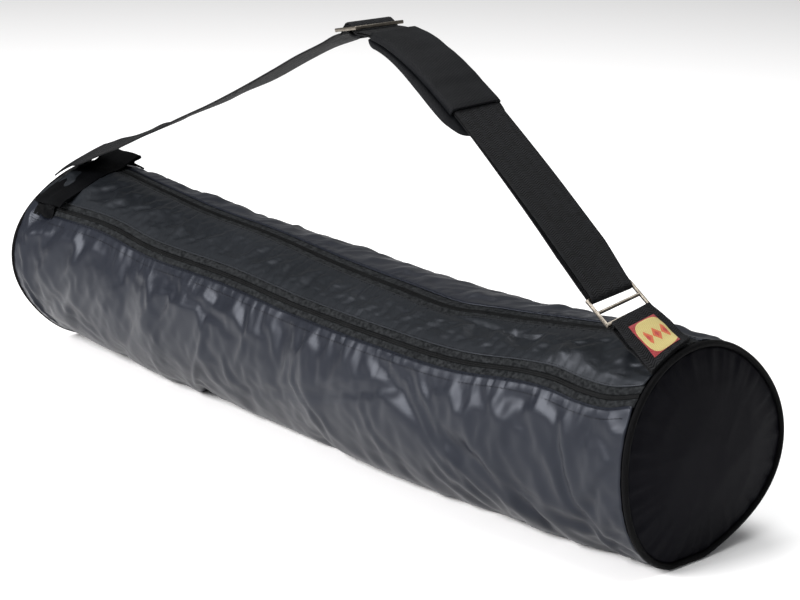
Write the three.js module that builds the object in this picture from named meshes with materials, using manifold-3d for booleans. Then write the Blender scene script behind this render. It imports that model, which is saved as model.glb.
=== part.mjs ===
// A yoga mat bag lying on its side: a soft nylon tube with two long zips, piped round ends,
// and a webbing shoulder strap with a pad, standing over it as an arch.
// Millimetres. X runs along the bag, the front faces -Y, and the floor is z = 0.
import * as THREE from "three";
import { mergeVertices } from "three/addons/utils/BufferGeometryUtils.js";
import Module from "manifold-3d";

const wasm = await Module();
wasm.setup();

// Driving dimensions of the bag
const BAG_LENGTH = 690; // between the two piped end seams
const BAG_RADIUS = 75; // of the sewn tube
const CLOTH = 1.2; // wall of the nylon cloth
const SEAM_GAP = 0.3; // clearance left between sewn pieces
const PIPING_RADIUS = 2.2;
const PIPING_PROUD = 0.6; // how far the piping stands out round the tube
const END_CROWN = 7; // how far a round end swells outwards

// Driving dimensions of the zips
const COIL_WIDTH = 3.4;
const COIL_PROUD = 0.6; // how far the coil stands over the cloth
const TAPE_WIDTH = 6; // of each woven tape beside a coil
const SLIDER_LENGTH = 9;
const SLIDER_WIDTH = 7;
const SLIDER_HEIGHT = 3.6;

// Driving dimensions of the strap, its buckles, pad, tab and patch
const WEB_WIDTH = 38;
const WEB_THICK = 1.4;
const WEB_GAP = 0.4; // clearance between two layers of webbing
const FIT_GAP = 0.3; // clearance between webbing and what it passes round or over
const SEAT_LIFT = 0.9; // of what is sewn on over the coils
const STRAP_RISE = 164; // top of the arch over the top of the bag
const LEFT_ROOT_ANGLE = 102; // where the strap is sewn on round the left rim, degrees
const RIGHT_ROOT_ANGLE = 113.5; // where the tab is sewn on round the right rim
const ROOT_INSET = 1; // from an end seam to a root's end
const ROOT_LENGTH = 30; // over which a root's end turns from along the seam to square
const BUCKLE_LENGTH = 24; // along the strap
const BUCKLE_SIDE_CLEAR = 0.3; // between a webbing edge and the frame's side bar
const BUCKLE_THICK = 2.6;
const SIDE_BAR = 2.2;
const CROSS_BAR = 2.8;
const CENTRE_BAR_RADIUS = 1.2;
const PAD_LENGTH = 118;
const PAD_WIDTH = 55;
const PAD_THICK = 7.5;
const SLEEVE_WALL = 1.2;
const PATCH_WIDTH = 23.5;
const PATCH_ASIDE = 0.5; // from the tab's middle towards the back
const PATCH_THICK = 0.7;
const BAND_WIDTH = 38; // the cloth band over the left ends of the zips
const BAND_INSET = 9; // from the left rim to the band
const BAND_FLAT_ANGLE = 117; // in front of it the band bulges, less at its rim side
const BAND_RIM_EASE = 0.6;
const BUCKLE_PINCH = 0.16; // how much the lower buckle narrows the webbing, as a share
const PINCH_BEFORE = [46, 14]; // where the pinch starts and is full, before the buckle
const PINCH_AFTER = [30, 14];

const halfLength = BAG_LENGTH / 2;
const halfWeb = WEB_THICK / 2;
const layerLift = halfWeb + WEB_GAP / 2; // from the middle of two layers to the middle of one
const endClear = PIPING_RADIUS + SEAM_GAP; // from an end seam to what meets the piping
const degrees = 180 / Math.PI;

// The tube's section along the bag, in shares of the radius. The tube sags in its middle:
// the top sinks, the sides spread, and it leans to the front.
const SECTIONS = [
  { along: -1.0, shiftY: 0.0, centreZ: 0.99, wide: 0.99, high: 0.99 },
  { along: -0.87, shiftY: 0.02, centreZ: 0.99, wide: 0.985, high: 0.985 },
  { along: -0.68, shiftY: 0.035, centreZ: 0.95, wide: 1.01, high: 0.98 },
  { along: -0.45, shiftY: 0.02, centreZ: 0.915, wide: 1.04, high: 0.965 },
  { along: -0.1, shiftY: 0.035, centreZ: 0.89, wide: 1.05, high: 0.945 },
  { along: 0.25, shiftY: -0.015, centreZ: 0.88, wide: 1.09, high: 0.94 },
  { along: 0.5, shiftY: -0.02, centreZ: 0.88, wide: 1.09, high: 0.945 },
  { along: 0.7, shiftY: 0.0, centreZ: 0.915, wide: 1.06, high: 0.975 },
  { along: 0.87, shiftY: 0.015, centreZ: 0.965, wide: 1.01, high: 0.99 },
  { along: 1.0, shiftY: 0.02, centreZ: 0.97, wide: 1.01, high: 1.0 },
];

// How each rim departs from a circle: waves round the rim, in shares of the radius.
const RIM_WAVES = [
  { end: 1, waves: 2, cosine: 0.014, sine: -0.008 },
  { end: 1, waves: 3, cosine: 0.042, sine: -0.012 },
  { end: 1, waves: 4, cosine: 0.0, sine: -0.012 },
  { end: -1, waves: 2, cosine: 0.01, sine: -0.002 },
  { end: -1, waves: 3, cosine: -0.017, sine: 0.008 },
  { end: -1, waves: 4, cosine: 0.015, sine: -0.011 },
];
const RIM_REACH = 0.4; // the share of the half length over which a rim's shape fades out

// The main folds of the cloth. The place along is a share of the half length, the angle is
// round the tube from +Y over the top, and a slant is in degrees for each share along.
// Half sizes are where a fold fades to a third. Depth is a share of the radius, inwards.
const FOLDS = [
  { along: -0.93, angle: 146, halfAlong: 0.035, halfAngle: 6, slant: 0, depth: 0.07 },
  { along: -0.965, angle: 150, halfAlong: 0.02, halfAngle: 14, slant: 0, depth: -0.03 },
  { along: -0.55, angle: 170, halfAlong: 0.04, halfAngle: 30, slant: 0, depth: 0.05 },
  { along: -0.45, angle: 190, halfAlong: 0.035, halfAngle: 22, slant: 0, depth: -0.035 },
  { along: -0.3, angle: 160, halfAlong: 0.07, halfAngle: 14, slant: 60, depth: 0.03 },
  { along: 0.02, angle: 165, halfAlong: 0.04, halfAngle: 24, slant: 0, depth: 0.05 },
  { along: 0.12, angle: 185, halfAlong: 0.035, halfAngle: 26, slant: 0, depth: -0.04 },
  { along: 0.24, angle: 178, halfAlong: 0.05, halfAngle: 22, slant: -80, depth: 0.045 },
  { along: 0.5, angle: 180, halfAlong: 0.05, halfAngle: 26, slant: 160, depth: 0.055 },
  { along: 0.62, angle: 192, halfAlong: 0.05, halfAngle: 22, slant: 160, depth: 0.045 },
  { along: 0.76, angle: 205, halfAlong: 0.05, halfAngle: 24, slant: 120, depth: 0.03 },
  { along: 0.8, angle: 126, halfAlong: 0.07, halfAngle: 7, slant: 0, depth: -0.05 },
  { along: 0.7, angle: 120, halfAlong: 0.1, halfAngle: 6, slant: 20, depth: 0.04 },
  { along: 0.3, angle: 60, halfAlong: 0.3, halfAngle: 16, slant: 0, depth: 0.03 },
  { along: -0.2, angle: 20, halfAlong: 0.06, halfAngle: 30, slant: 0, depth: 0.035 },
  { along: 0.55, angle: 10, halfAlong: 0.06, halfAngle: 30, slant: 60, depth: 0.035 },
];

// Where each zip's middle line runs round the tube.
const FRONT_ZIP = [
  { along: -1.0, angle: 138 },
  { along: -0.87, angle: 138.5 },
  { along: -0.7, angle: 136.5 },
  { along: -0.5, angle: 139 },
  { along: -0.25, angle: 138.5 },
  { along: 0.0, angle: 141 },
  { along: 0.3, angle: 141 },
  { along: 0.55, angle: 141 },
  { along: 0.7, angle: 139 },
  { along: 0.78, angle: 140 },
  { along: 0.86, angle: 143.5 },
  { along: 0.93, angle: 143.5 },
  { along: 1.0, angle: 138 },
];
const REAR_ZIP = [
  { along: -1.0, angle: 86 },
  { along: -0.87, angle: 88 },
  { along: -0.7, angle: 93 },
  { along: -0.5, angle: 97 },
  { along: -0.25, angle: 99 },
  { along: 0.0, angle: 105 },
  { along: 0.25, angle: 108 },
  { along: 0.42, angle: 110 },
  { along: 0.52, angle: 106 },
  { along: 0.7, angle: 103 },
  { along: 0.82, angle: 101 },
  { along: 1.0, angle: 97 },
];

// The line between the two layers of the strap, from the left rim to the right one. Height
// is over the top of the bag, in shares of the rise; sideways is in shares of the radius;
// roll is the webbing's tilt about its own run, in degrees.
const ARCH = [
  { along: -0.965, height: 0.043, sideways: -0.12, roll: 19 },
  { along: -0.925, height: 0.063, sideways: -0.125, roll: 22 },
  { along: -0.87, height: 0.106, sideways: -0.14, roll: 21 },
  { along: -0.81, height: 0.149, sideways: -0.147, roll: 17 },
  { along: -0.75, height: 0.195, sideways: -0.155, roll: 17 },
  { along: -0.69, height: 0.249, sideways: -0.164, roll: 17 },
  { along: -0.63, height: 0.293, sideways: -0.175, roll: 12 },
  { along: -0.57, height: 0.345, sideways: -0.186, roll: 13 },
  { along: -0.5, height: 0.406, sideways: -0.197, roll: 10 },
  { along: -0.43, height: 0.465, sideways: -0.209, roll: 9 },
  { along: -0.36, height: 0.528, sideways: -0.22, roll: 10 },
  { along: -0.253, height: 0.623, sideways: -0.236, roll: 7 },
  { along: -0.12, height: 0.755, sideways: -0.259, roll: 7 },
  { along: -0.036, height: 0.837, sideways: -0.273, roll: 5 },
  { along: 0.047, height: 0.906, sideways: -0.284, roll: 1 },
  { along: 0.1, height: 0.956, sideways: -0.295, roll: 0 },
  { along: 0.17, height: 0.99, sideways: -0.31, roll: 0 },
  { along: 0.24, height: 0.978, sideways: -0.305, roll: 1 },
  { along: 0.33, height: 0.906, sideways: -0.305, roll: 3 },
  { along: 0.45, height: 0.762, sideways: -0.325, roll: 5 },
  { along: 0.6, height: 0.54, sideways: -0.345, roll: 7 },
  { along: 0.75, height: 0.295, sideways: -0.36, roll: 9 },
  { along: 0.86, height: 0.11, sideways: -0.384, roll: 20 },
  { along: 0.961, height: 0, sideways: -0.383, roll: 13 },
];

// Places on the strap, as shares of its run from rim to rim.
const UPPER_BUCKLE_AT = 0.555;
const LOWER_BUCKLE_AT = 0.933;
const PAD_FROM_BUCKLE = 20; // from the middle of the upper buckle to the pad's end

// The colour and sheen of each finish
const finishes = {
  bodyNylon: { color: 0x3c3d46, roughness: 0.38, metalness: 0 },
  topNylon: { color: 0x2a2c2f, roughness: 0.45, metalness: 0 },
  endNylon: { color: 0x1c1c22, roughness: 0.42, metalness: 0 },
  zipTape: { color: 0x17181a, roughness: 0.8, metalness: 0 },
  zipCoil: { color: 0x0e0f10, roughness: 0.5, metalness: 0 },
  piping: { color: 0x101012, roughness: 0.6, metalness: 0 },
  webbing: { color: 0x1b1c1f, roughness: 0.85, metalness: 0 },
  padCloth: { color: 0x222327, roughness: 0.6, metalness: 0 },
  nickel: { color: 0xb9b3a8, roughness: 0.35, metalness: 1 },
  patch: { color: 0xd9c68c, roughness: 0.8, metalness: 0 },
};
// The smooth value of one column of a table at a place along it.
function columnAt(rows, column, along) {
  let row = 0;
  while (row < rows.length - 2 && along > rows[row + 1].along) row += 1;
  const a = rows[row];
  const b = rows[row + 1];
  const before = rows[Math.max(row - 1, 0)];
  const after = rows[Math.min(row + 2, rows.length - 1)];
  const span = b.along - a.along;
  const slopeA = ((b[column] - before[column]) / (b.along - before.along)) * span;
  const slopeB = ((after[column] - a[column]) / (after.along - a.along)) * span;
  const t = Math.min(Math.max((along - a.along) / span, 0), 1);
  const t2 = t * t;
  const t3 = t2 * t;
  return (
    (2 * t3 - 3 * t2 + 1) * a[column] +
    (t3 - 2 * t2 + t) * slopeA +
    (3 * t2 - 2 * t3) * b[column] +
    (t3 - t2) * slopeB
  );
}

// How far a rim's waves push the tube out at a place, as a share of the radius.
function rimShare(along, angle) {
  let share = 0;
  for (const wave of RIM_WAVES) {
    const near = Math.max(0, 1 - (1 - along * wave.end) / RIM_REACH);
    const turn = (wave.waves * angle) / degrees;
    share += near * (wave.cosine * Math.cos(turn) + wave.sine * Math.sin(turn));
  }
  return share;
}

// How deep the folds press in at a place. Folds fade out before the end seams.
function foldDepth(along, angle) {
  let depth = 0;
  for (const fold of FOLDS) {
    const angleOff = (angle - fold.angle) / fold.halfAngle;
    const alongOff = (along - fold.along - (angle - fold.angle) / (fold.slant || Infinity)) / fold.halfAlong;
    depth += fold.depth * Math.exp(-angleOff * angleOff - alongOff * alongOff);
  }
  const fromEnd = Math.min((1 - Math.abs(along)) / 0.04, 1);
  return depth * fromEnd * BAG_RADIUS;
}

// A point of the bag's outer face, raised by lift. The floor presses the bottom flat.
function bagPoint(x, angle, lift) {
  const along = x / halfLength;
  const reach = 1 + rimShare(along, angle);
  const out = lift - foldDepth(along, angle);
  const shiftY = columnAt(SECTIONS, "shiftY", along) * BAG_RADIUS;
  const centreZ = columnAt(SECTIONS, "centreZ", along) * BAG_RADIUS;
  const wide = columnAt(SECTIONS, "wide", along) * BAG_RADIUS * reach + out;
  const high = columnAt(SECTIONS, "high", along) * BAG_RADIUS * reach + out;
  const y = shiftY + wide * Math.cos(angle / degrees);
  const z = centreZ + high * Math.sin(angle / degrees);
  return new THREE.Vector3(x, y, Math.max(z, -lift, 0));
}

// A box whose three unit coordinates are carried to a shape by a function.
function bentBox(alongCount, acrossCount, carry) {
  const geometry = new THREE.BoxGeometry(1, 1, 1, alongCount, acrossCount, 1);
  const places = geometry.getAttribute("position");
  for (let i = 0; i < places.count; i += 1) {
    const point = carry(places.getX(i) + 0.5, places.getY(i) + 0.5, places.getZ(i) + 0.5);
    places.setXYZ(i, point.x, point.y, point.z);
  }
  geometry.computeVertexNormals();
  return geometry;
}

// A point beside a flat route, off to the left of its run.
function offsetRoute(route, i, offset) {
  const ahead = route[Math.min(i + 1, route.length - 1)];
  const behind = route[Math.max(i - 1, 0)];
  const turn = new THREE.Vector2().subVectors(ahead, behind).normalize();
  return new THREE.Vector2(route[i].x - turn.y * offset, route[i].y + turn.x * offset);
}

// Every vertex of a geometry is carried to its place by a function.
function carried(geometry, carry) {
  const places = geometry.getAttribute("position");
  for (let i = 0; i < places.count; i += 1) {
    const point = carry(places.getX(i), places.getY(i), places.getZ(i));
    places.setXYZ(i, point.x, point.y, point.z);
  }
  geometry.computeVertexNormals();
  return geometry;
}

function solidOf(geometry) {
  const bare = geometry.clone();
  bare.deleteAttribute("normal");
  bare.deleteAttribute("uv");
  const merged = mergeVertices(bare, 1e-4);
  return new wasm.Manifold(
    new wasm.Mesh({
      numProp: 3,
      vertProperties: merged.getAttribute("position").array,
      triVerts: new Uint32Array(merged.index.array),
    }),
  );
}

function geometryOf(solid) {
  const mesh = solid.getMesh();
  const geometry = new THREE.BufferGeometry();
  geometry.setAttribute("position", new THREE.BufferAttribute(mesh.vertProperties, 3));
  geometry.setIndex(new THREE.BufferAttribute(mesh.triVerts, 1));
  return geometry;
}

const bag = new THREE.Group();
const strap = new THREE.Group();
bag.add(strap);

function piece(group, name, geometry, finish) {
  const mesh = new THREE.Mesh(geometry, new THREE.MeshStandardMaterial(finishes[finish]));
  mesh.name = name;
  group.add(mesh);
}

// The cloth tube: a large panel from the front zip round under the bag to the rear zip, a
// narrow panel over the top, and the two zips between them.
const ALONG_COUNT = 34;
const BODY_COUNT = 30;
const TOP_COUNT = 4;

// The place along the tube for a share of its length, stopping short of the piping.
function tubeX(share) {
  return (share * 2 - 1) * (halfLength - endClear);
}

// The angle at a distance in front of a zip's middle line.
function zipAngle(zip, x, distance) {
  return columnAt(zip, "angle", x / halfLength) + (distance / BAG_RADIUS) * degrees;
}

const tapeStart = COIL_WIDTH / 2 + SEAM_GAP;
const tapeEnd = tapeStart + TAPE_WIDTH;
const panelStart = tapeEnd + SEAM_GAP;

// A strip of the tube between two angles, each a function of the place along.
function tubeStrip(fromAngle, toAngle, acrossCount, low, high) {
  return bentBox(ALONG_COUNT, acrossCount, (u, v, w) => {
    const x = tubeX(u);
    const angle = THREE.MathUtils.lerp(toAngle(x), fromAngle(x), v);
    return bagPoint(x, angle, THREE.MathUtils.lerp(low, high, w));
  });
}

function bodyPanel() {
  const front = (x) => zipAngle(FRONT_ZIP, x, panelStart);
  const rear = (x) => zipAngle(REAR_ZIP, x, -panelStart) + 360;
  piece(bag, "body_panel", tubeStrip(front, rear, BODY_COUNT, -CLOTH, 0), "bodyNylon");
}

function topPanel() {
  const rear = (x) => zipAngle(REAR_ZIP, x, panelStart);
  const front = (x) => zipAngle(FRONT_ZIP, x, -panelStart);
  piece(bag, "top_panel", tubeStrip(rear, front, TOP_COUNT, -CLOTH, 0), "topNylon");
}

function zips() {
  const zipNames = { front_zip: FRONT_ZIP, rear_zip: REAR_ZIP };
  const strips = [
    { name: "lower_tape", from: tapeStart, to: tapeEnd, high: 0, finish: "zipTape" },
    { name: "coil", from: -COIL_WIDTH / 2, to: COIL_WIDTH / 2, high: COIL_PROUD, finish: "zipCoil" },
    { name: "upper_tape", from: -tapeEnd, to: -tapeStart, high: 0, finish: "zipTape" },
  ];
  for (const [zipName, zip] of Object.entries(zipNames)) {
    for (const strip of strips) {
      const from = (x) => zipAngle(zip, x, strip.from);
      const to = (x) => zipAngle(zip, x, strip.to);
      const geometry = tubeStrip(from, to, 1, -CLOTH, strip.high);
      piece(bag, `${zipName}_${strip.name}`, geometry, strip.finish);
    }
  }
}

// The front zip's slider, closed at the left end beside the band.
function slider() {
  const geometry = bentBox(2, 2, (u, v, w) => {
    const narrowing = 1 - 0.35 * Math.abs(u - 0.5);
    const x = -halfLength + BAND_INSET + BAND_WIDTH / 2 + (u - 0.5) * SLIDER_LENGTH;
    const angle = zipAngle(FRONT_ZIP, x, (0.5 - v) * SLIDER_WIDTH * narrowing);
    const lift = COIL_PROUD + 2 * SEAM_GAP + w * SLIDER_HEIGHT * narrowing;
    return bagPoint(x, angle, lift);
  });
  piece(bag, "front_zip_slider", geometry, "zipCoil");
}

// The round ends and their piping
const ROUND_COUNT = 36;

// The piping's middle line round an end, standing a little proud of the tube.
function pipingPoint(end, angle) {
  const point = bagPoint(end * halfLength, angle, PIPING_PROUD - PIPING_RADIUS);
  point.z = Math.max(point.z, PIPING_RADIUS);
  return point;
}

function endCentre(end) {
  const row = end < 0 ? SECTIONS[0] : SECTIONS[SECTIONS.length - 1];
  return new THREE.Vector3(end * halfLength, row.shiftY * BAG_RADIUS, row.centreZ * BAG_RADIUS);
}

function piping(name, end) {
  const centre = endCentre(end);
  const ring = new THREE.TorusGeometry(BAG_RADIUS, PIPING_RADIUS, 6, ROUND_COUNT);
  const geometry = carried(ring, (x, y, z) => {
    const angle = Math.atan2(y, x) * degrees;
    const middle = pipingPoint(end, angle);
    const outwards = middle.clone().sub(centre).normalize();
    middle.addScaledVector(outwards, Math.hypot(x, y) - BAG_RADIUS);
    middle.x += z;
    return middle;
  });
  // The ring's own z becomes x, which keeps its turn, because y and z follow x and y.
  piece(bag, name, geometry, "piping");
}

// An end's profile from its middle to its edge, in shares of the edge's radius and the crown.
const END_PROFILE = [
  { out: 0.0, rise: 1.0 },
  { out: 0.35, rise: 0.93 },
  { out: 0.65, rise: 0.72 },
  { out: 0.88, rise: 0.36 },
  { out: 1.0, rise: 0.0 },
];

// Small puckers round an end's edge, in shares of the crown.
const PUCKERS = { count: 7, depth: 0.14, start: 0.6 };

function endPanel(name, end) {
  const centre = endCentre(end);
  const profile = [];
  for (const row of END_PROFILE) {
    profile.push(new THREE.Vector2(row.out, row.rise * END_CROWN - CLOTH));
  }
  for (const row of [...END_PROFILE].reverse()) {
    profile.push(new THREE.Vector2(row.out, row.rise * END_CROWN));
  }
  const geometry = carried(new THREE.LatheGeometry(profile, ROUND_COUNT), (x, y, z) => {
    const out = Math.hypot(x, z);
    const angle = Math.atan2(x, z * end) * degrees;
    const edge = pipingPoint(end, angle).sub(centre);
    const point = edge.clone().setLength((edge.length() - endClear) * out).add(centre);
    const pucker = Math.max(0, out - PUCKERS.start) * (1 - out) * PUCKERS.count;
    const wave = Math.sin((angle / degrees) * PUCKERS.count) * PUCKERS.depth * END_CROWN;
    point.x = centre.x + end * (y + CLOTH / 2 + pucker * wave);
    return point;
  });
  piece(bag, name, geometry, "endNylon");
}

// The cloth band over the left ends of both zips. It bulges over the slider in front, and at
// the back it stands off the tube as a flattened loop, sewn down. Lift is a share of the radius.
const BAND = [
  { angle: 139, lift: 0.066 },
  { angle: 135, lift: 0.065 },
  { angle: 130, lift: 0.045 },
  { angle: 125.5, lift: 0.02 },
  { angle: 121, lift: 0.004 },
  { angle: 112, lift: 0 },
  { angle: 103, lift: 0 },
  { angle: 94, lift: 0 },
  { angle: 90.5, lift: 0.006 },
  { angle: 87.3, lift: 0.024 },
  { angle: 84, lift: 0.055 },
  { angle: 80.8, lift: 0.094 },
  { angle: 78.4, lift: 0.124 },
  { angle: 76.9, lift: 0.138 },
  { angle: 75.9, lift: 0.136 },
  { angle: 75.5, lift: 0.123 },
  { angle: 76.1, lift: 0.111 },
  { angle: 77.6, lift: 0.095 },
  { angle: 79.2, lift: 0.08 },
  { angle: 80, lift: 0.064 },
  { angle: 79.4, lift: 0.048 },
  { angle: 77.8, lift: 0.036 },
  { angle: 75.2, lift: 0.022 },
  { angle: 71.5, lift: 0.004 },
];

function leftBand() {
  const last = BAND.length - 1;
  const route = BAND.map((row) => {
    return new THREE.Vector2((-row.angle / degrees) * BAG_RADIUS, row.lift * BAG_RADIUS);
  });
  const geometry = bentBox(last, 2, (u, v, w) => {
    const place = offsetRoute(route, Math.round(u * last), (w - 0.5) * CLOTH);
    const x = -halfLength + BAND_INSET + (1 - v) * BAND_WIDTH;
    const angle = (-place.x / BAG_RADIUS) * degrees;
    const bulge = angle > BAND_FLAT_ANGLE ? route[Math.round(u * last)].y : 0;
    const eased = bulge * BAND_RIM_EASE * Math.max(0, 2 * v - 1);
    return bagPoint(x, angle, SEAT_LIFT + CLOTH / 2 + place.y - eased);
  });
  piece(bag, "left_band", geometry, "zipTape");
}

// The strap's own space: s runs along the arch, v across the webbing to the back, and n
// out from the line between the two layers.
const leftRootX = -halfLength + ROOT_INSET;
const rightRootX = halfLength - ROOT_INSET;
const leftRoot = bagPoint(leftRootX, LEFT_ROOT_ANGLE, SEAT_LIFT + CLOTH);
const rightRoot = bagPoint(rightRootX, RIGHT_ROOT_ANGLE, SEAT_LIFT + 2 * layerLift);
const archRows = [
  { ...leftRoot, roll: LEFT_ROOT_ANGLE - 90 },
  ...ARCH.map((row) => ({
    x: row.along * halfLength,
    y: row.sideways * BAG_RADIUS,
    z: 2 * BAG_RADIUS + row.height * STRAP_RISE,
    roll: row.roll,
  })),
  { ...rightRoot, roll: RIGHT_ROOT_ANGLE - 90 },
];
const archPoints = archRows.map((row) => new THREE.Vector3(row.x, row.y, row.z));
const archLine = new THREE.CatmullRomCurve3(archPoints);
archLine.arcLengthDivisions = 600;
const archLength = archLine.getLength();
const rollRows = archRows.map((row) => ({ along: row.x, roll: row.roll }));

// How much narrower the webbing is at s, where the lower buckle gathers it.
function pinchAt(s) {
  const off = s - LOWER_BUCKLE_AT * archLength;
  const [start, full] = off < 0 ? PINCH_BEFORE : PINCH_AFTER;
  const near = (start - Math.abs(off)) / (start - full);
  return 1 - BUCKLE_PINCH * Math.min(Math.max(near, 0), 1);
}

function strapPoint(s, width, n) {
  const v = width * pinchAt(s);
  const share = Math.min(Math.max(s / archLength, 0), 1);
  const point = archLine.getPointAt(share);
  const run = archLine.getTangentAt(share);
  const roll = columnAt(rollRows, "roll", point.x) / degrees;
  const across = new THREE.Vector3(0, Math.cos(roll), Math.sin(roll));
  const squared = Math.min(share, 1 - share) * archLength / ROOT_LENGTH;
  across.addScaledVector(run, -across.dot(run) * Math.min(squared, 1)).normalize();
  const outwards = new THREE.Vector3().crossVectors(run, across).normalize();
  point.addScaledVector(run, s - share * archLength);
  const wrapped = Math.max(0, 1 - squared) * v * v / (2 * BAG_RADIUS);
  return point.addScaledVector(across, v).addScaledVector(outwards, n - wrapped);
}

const upperBuckleS = UPPER_BUCKLE_AT * archLength;
const lowerBuckleS = LOWER_BUCKLE_AT * archLength;
const halfBuckle = BUCKLE_LENGTH / 2;
const crossBarS = halfBuckle - CROSS_BAR / 2; // from a buckle's middle to a cross bar's
const underBar = BUCKLE_THICK / 2 + FIT_GAP + halfWeb; // from a frame's middle to webbing under it
const turnRadius = Math.hypot(CROSS_BAR, BUCKLE_THICK) / 2 + FIT_GAP + halfWeb;
const loopRadius = CENTRE_BAR_RADIUS + FIT_GAP + halfWeb;
const overRadius = loopRadius + WEB_THICK + FIT_GAP;
const upperBuckleN = layerLift + underBar;

// A webbing ribbon whose middle line is a route of points in the strap's space.
function ribbon(route, acrossCount) {
  const last = route.length - 1;
  return bentBox(last, acrossCount, (u, v, w) => {
    const place = offsetRoute(route, Math.round(u * last), (w - 0.5) * WEB_THICK);
    return strapPoint(place.x, (v - 0.5) * WEB_WIDTH, place.y);
  });
}

// Points evenly spaced on a straight stretch of a route, ends included.
function stretch(fromS, fromN, toS, toN, step) {
  const count = Math.max(1, Math.round(Math.abs(toS - fromS) / step));
  const points = [];
  for (let i = 0; i <= count; i += 1) {
    const t = i / count;
    const s = THREE.MathUtils.lerp(fromS, toS, t);
    points.push(new THREE.Vector2(s, THREE.MathUtils.lerp(fromN, toN, t)));
  }
  return points;
}

// Points on an arc of a route about a centre, from one angle to another in degrees.
function arc(centreS, centreN, radius, fromAngle, toAngle, count) {
  const points = [];
  for (let i = 0; i <= count; i += 1) {
    const turn = THREE.MathUtils.lerp(fromAngle, toAngle, i / count) / degrees;
    const s = centreS + radius * Math.cos(turn);
    points.push(new THREE.Vector2(s, centreN + radius * Math.sin(turn)));
  }
  return points;
}

// The stations along the pad, as shares of its length: the pad, its sleeve and the webbing
// in it all bend at the same places, so they stay apart.
const PAD_STATIONS = [
  0, 0.04, 0.1, 0.18, 0.26, 0.34, 0.42, 0.5, 0.58, 0.66, 0.75, 0.84, 0.92, 0.97, 1,
];
const SLEEVE_FIRST = 1; // the sleeve's first and last stations
const SLEEVE_LAST = PAD_STATIONS.length - 4;
const padFromS = upperBuckleS + PAD_FROM_BUCKLE;

function padStationS(i) {
  return padFromS + PAD_STATIONS[i] * PAD_LENGTH;
}

// The strap: from the left rim up to the upper buckle, under its end bars and over its
// centre bar, down through the pad's sleeve, round the lower buckle's top bar, back up
// under itself, and round the upper buckle's centre bar, where its end is sewn down.
const BUCKLE_LEAD = 17; // from the upper buckle to the webbing's straight run on the left
const LOWER_LEAD = 6; // and before the lower one
const PAD_LEAD = 10; // from the pad to the webbing's straight run below it
const WEB_STEP = 20; // between the webbing's bends on its straight runs
const END_LAP = 12; // the sewn end past the centre bar

function shoulderStrap() {
  const slotEdge = halfBuckle - CROSS_BAR;
  const slotDive = slotEdge - halfWeb + 0.2;
  const slotTop = overRadius + halfWeb + 1;
  const upperN = upperBuckleN;
  const turnS = lowerBuckleS - crossBarS;
  const padEndS = padFromS + PAD_LENGTH;
  const inPad = (n) => PAD_STATIONS.map((place, i) => new THREE.Vector2(padStationS(i), n));
  const local = (t, m) => new THREE.Vector2(upperBuckleS + t, upperN + m);
  const route = [
    ...stretch(0, layerLift, upperBuckleS - BUCKLE_LEAD, layerLift, WEB_STEP),
    local(-slotDive - 2.6, -underBar),
    local(-slotDive, -underBar),
    local(-slotTop, 0.3),
    local(-slotTop + 1, 1.5),
    ...arc(upperBuckleS, upperN, overRadius + 0.1, 145, 35, 4),
    local(slotTop - 1, 1.5),
    local(slotTop, 0.3),
    local(slotDive, -underBar),
    local(slotDive + 2.6, -underBar),
    ...inPad(layerLift),
    ...stretch(padEndS + PAD_LEAD, layerLift + 0.1, turnS - LOWER_LEAD, turnRadius, WEB_STEP),
    ...arc(turnS, 0, turnRadius, 90, -90, 6),
    ...stretch(turnS - LOWER_LEAD, -turnRadius, padEndS + PAD_LEAD, -layerLift - 0.1, WEB_STEP),
    ...inPad(-layerLift).reverse(),
    local(slotDive - 0.4, -underBar - 2 * layerLift),
    local(slotDive - 2.3, -underBar - 0.5),
    local(slotTop - 1.7, -0.9),
    local(loopRadius + 0.7, 0.2),
    ...arc(upperBuckleS, upperN, loopRadius, 60, 250, 5),
    local(0.6, -loopRadius - 1.4),
    local(2.6, -loopRadius - 2.9),
    local(6, -underBar - 4 * layerLift),
    local(END_LAP, -underBar - 4 * layerLift),
  ];
  piece(strap, "shoulder_strap", ribbon(route, 2), "webbing");
}

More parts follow.
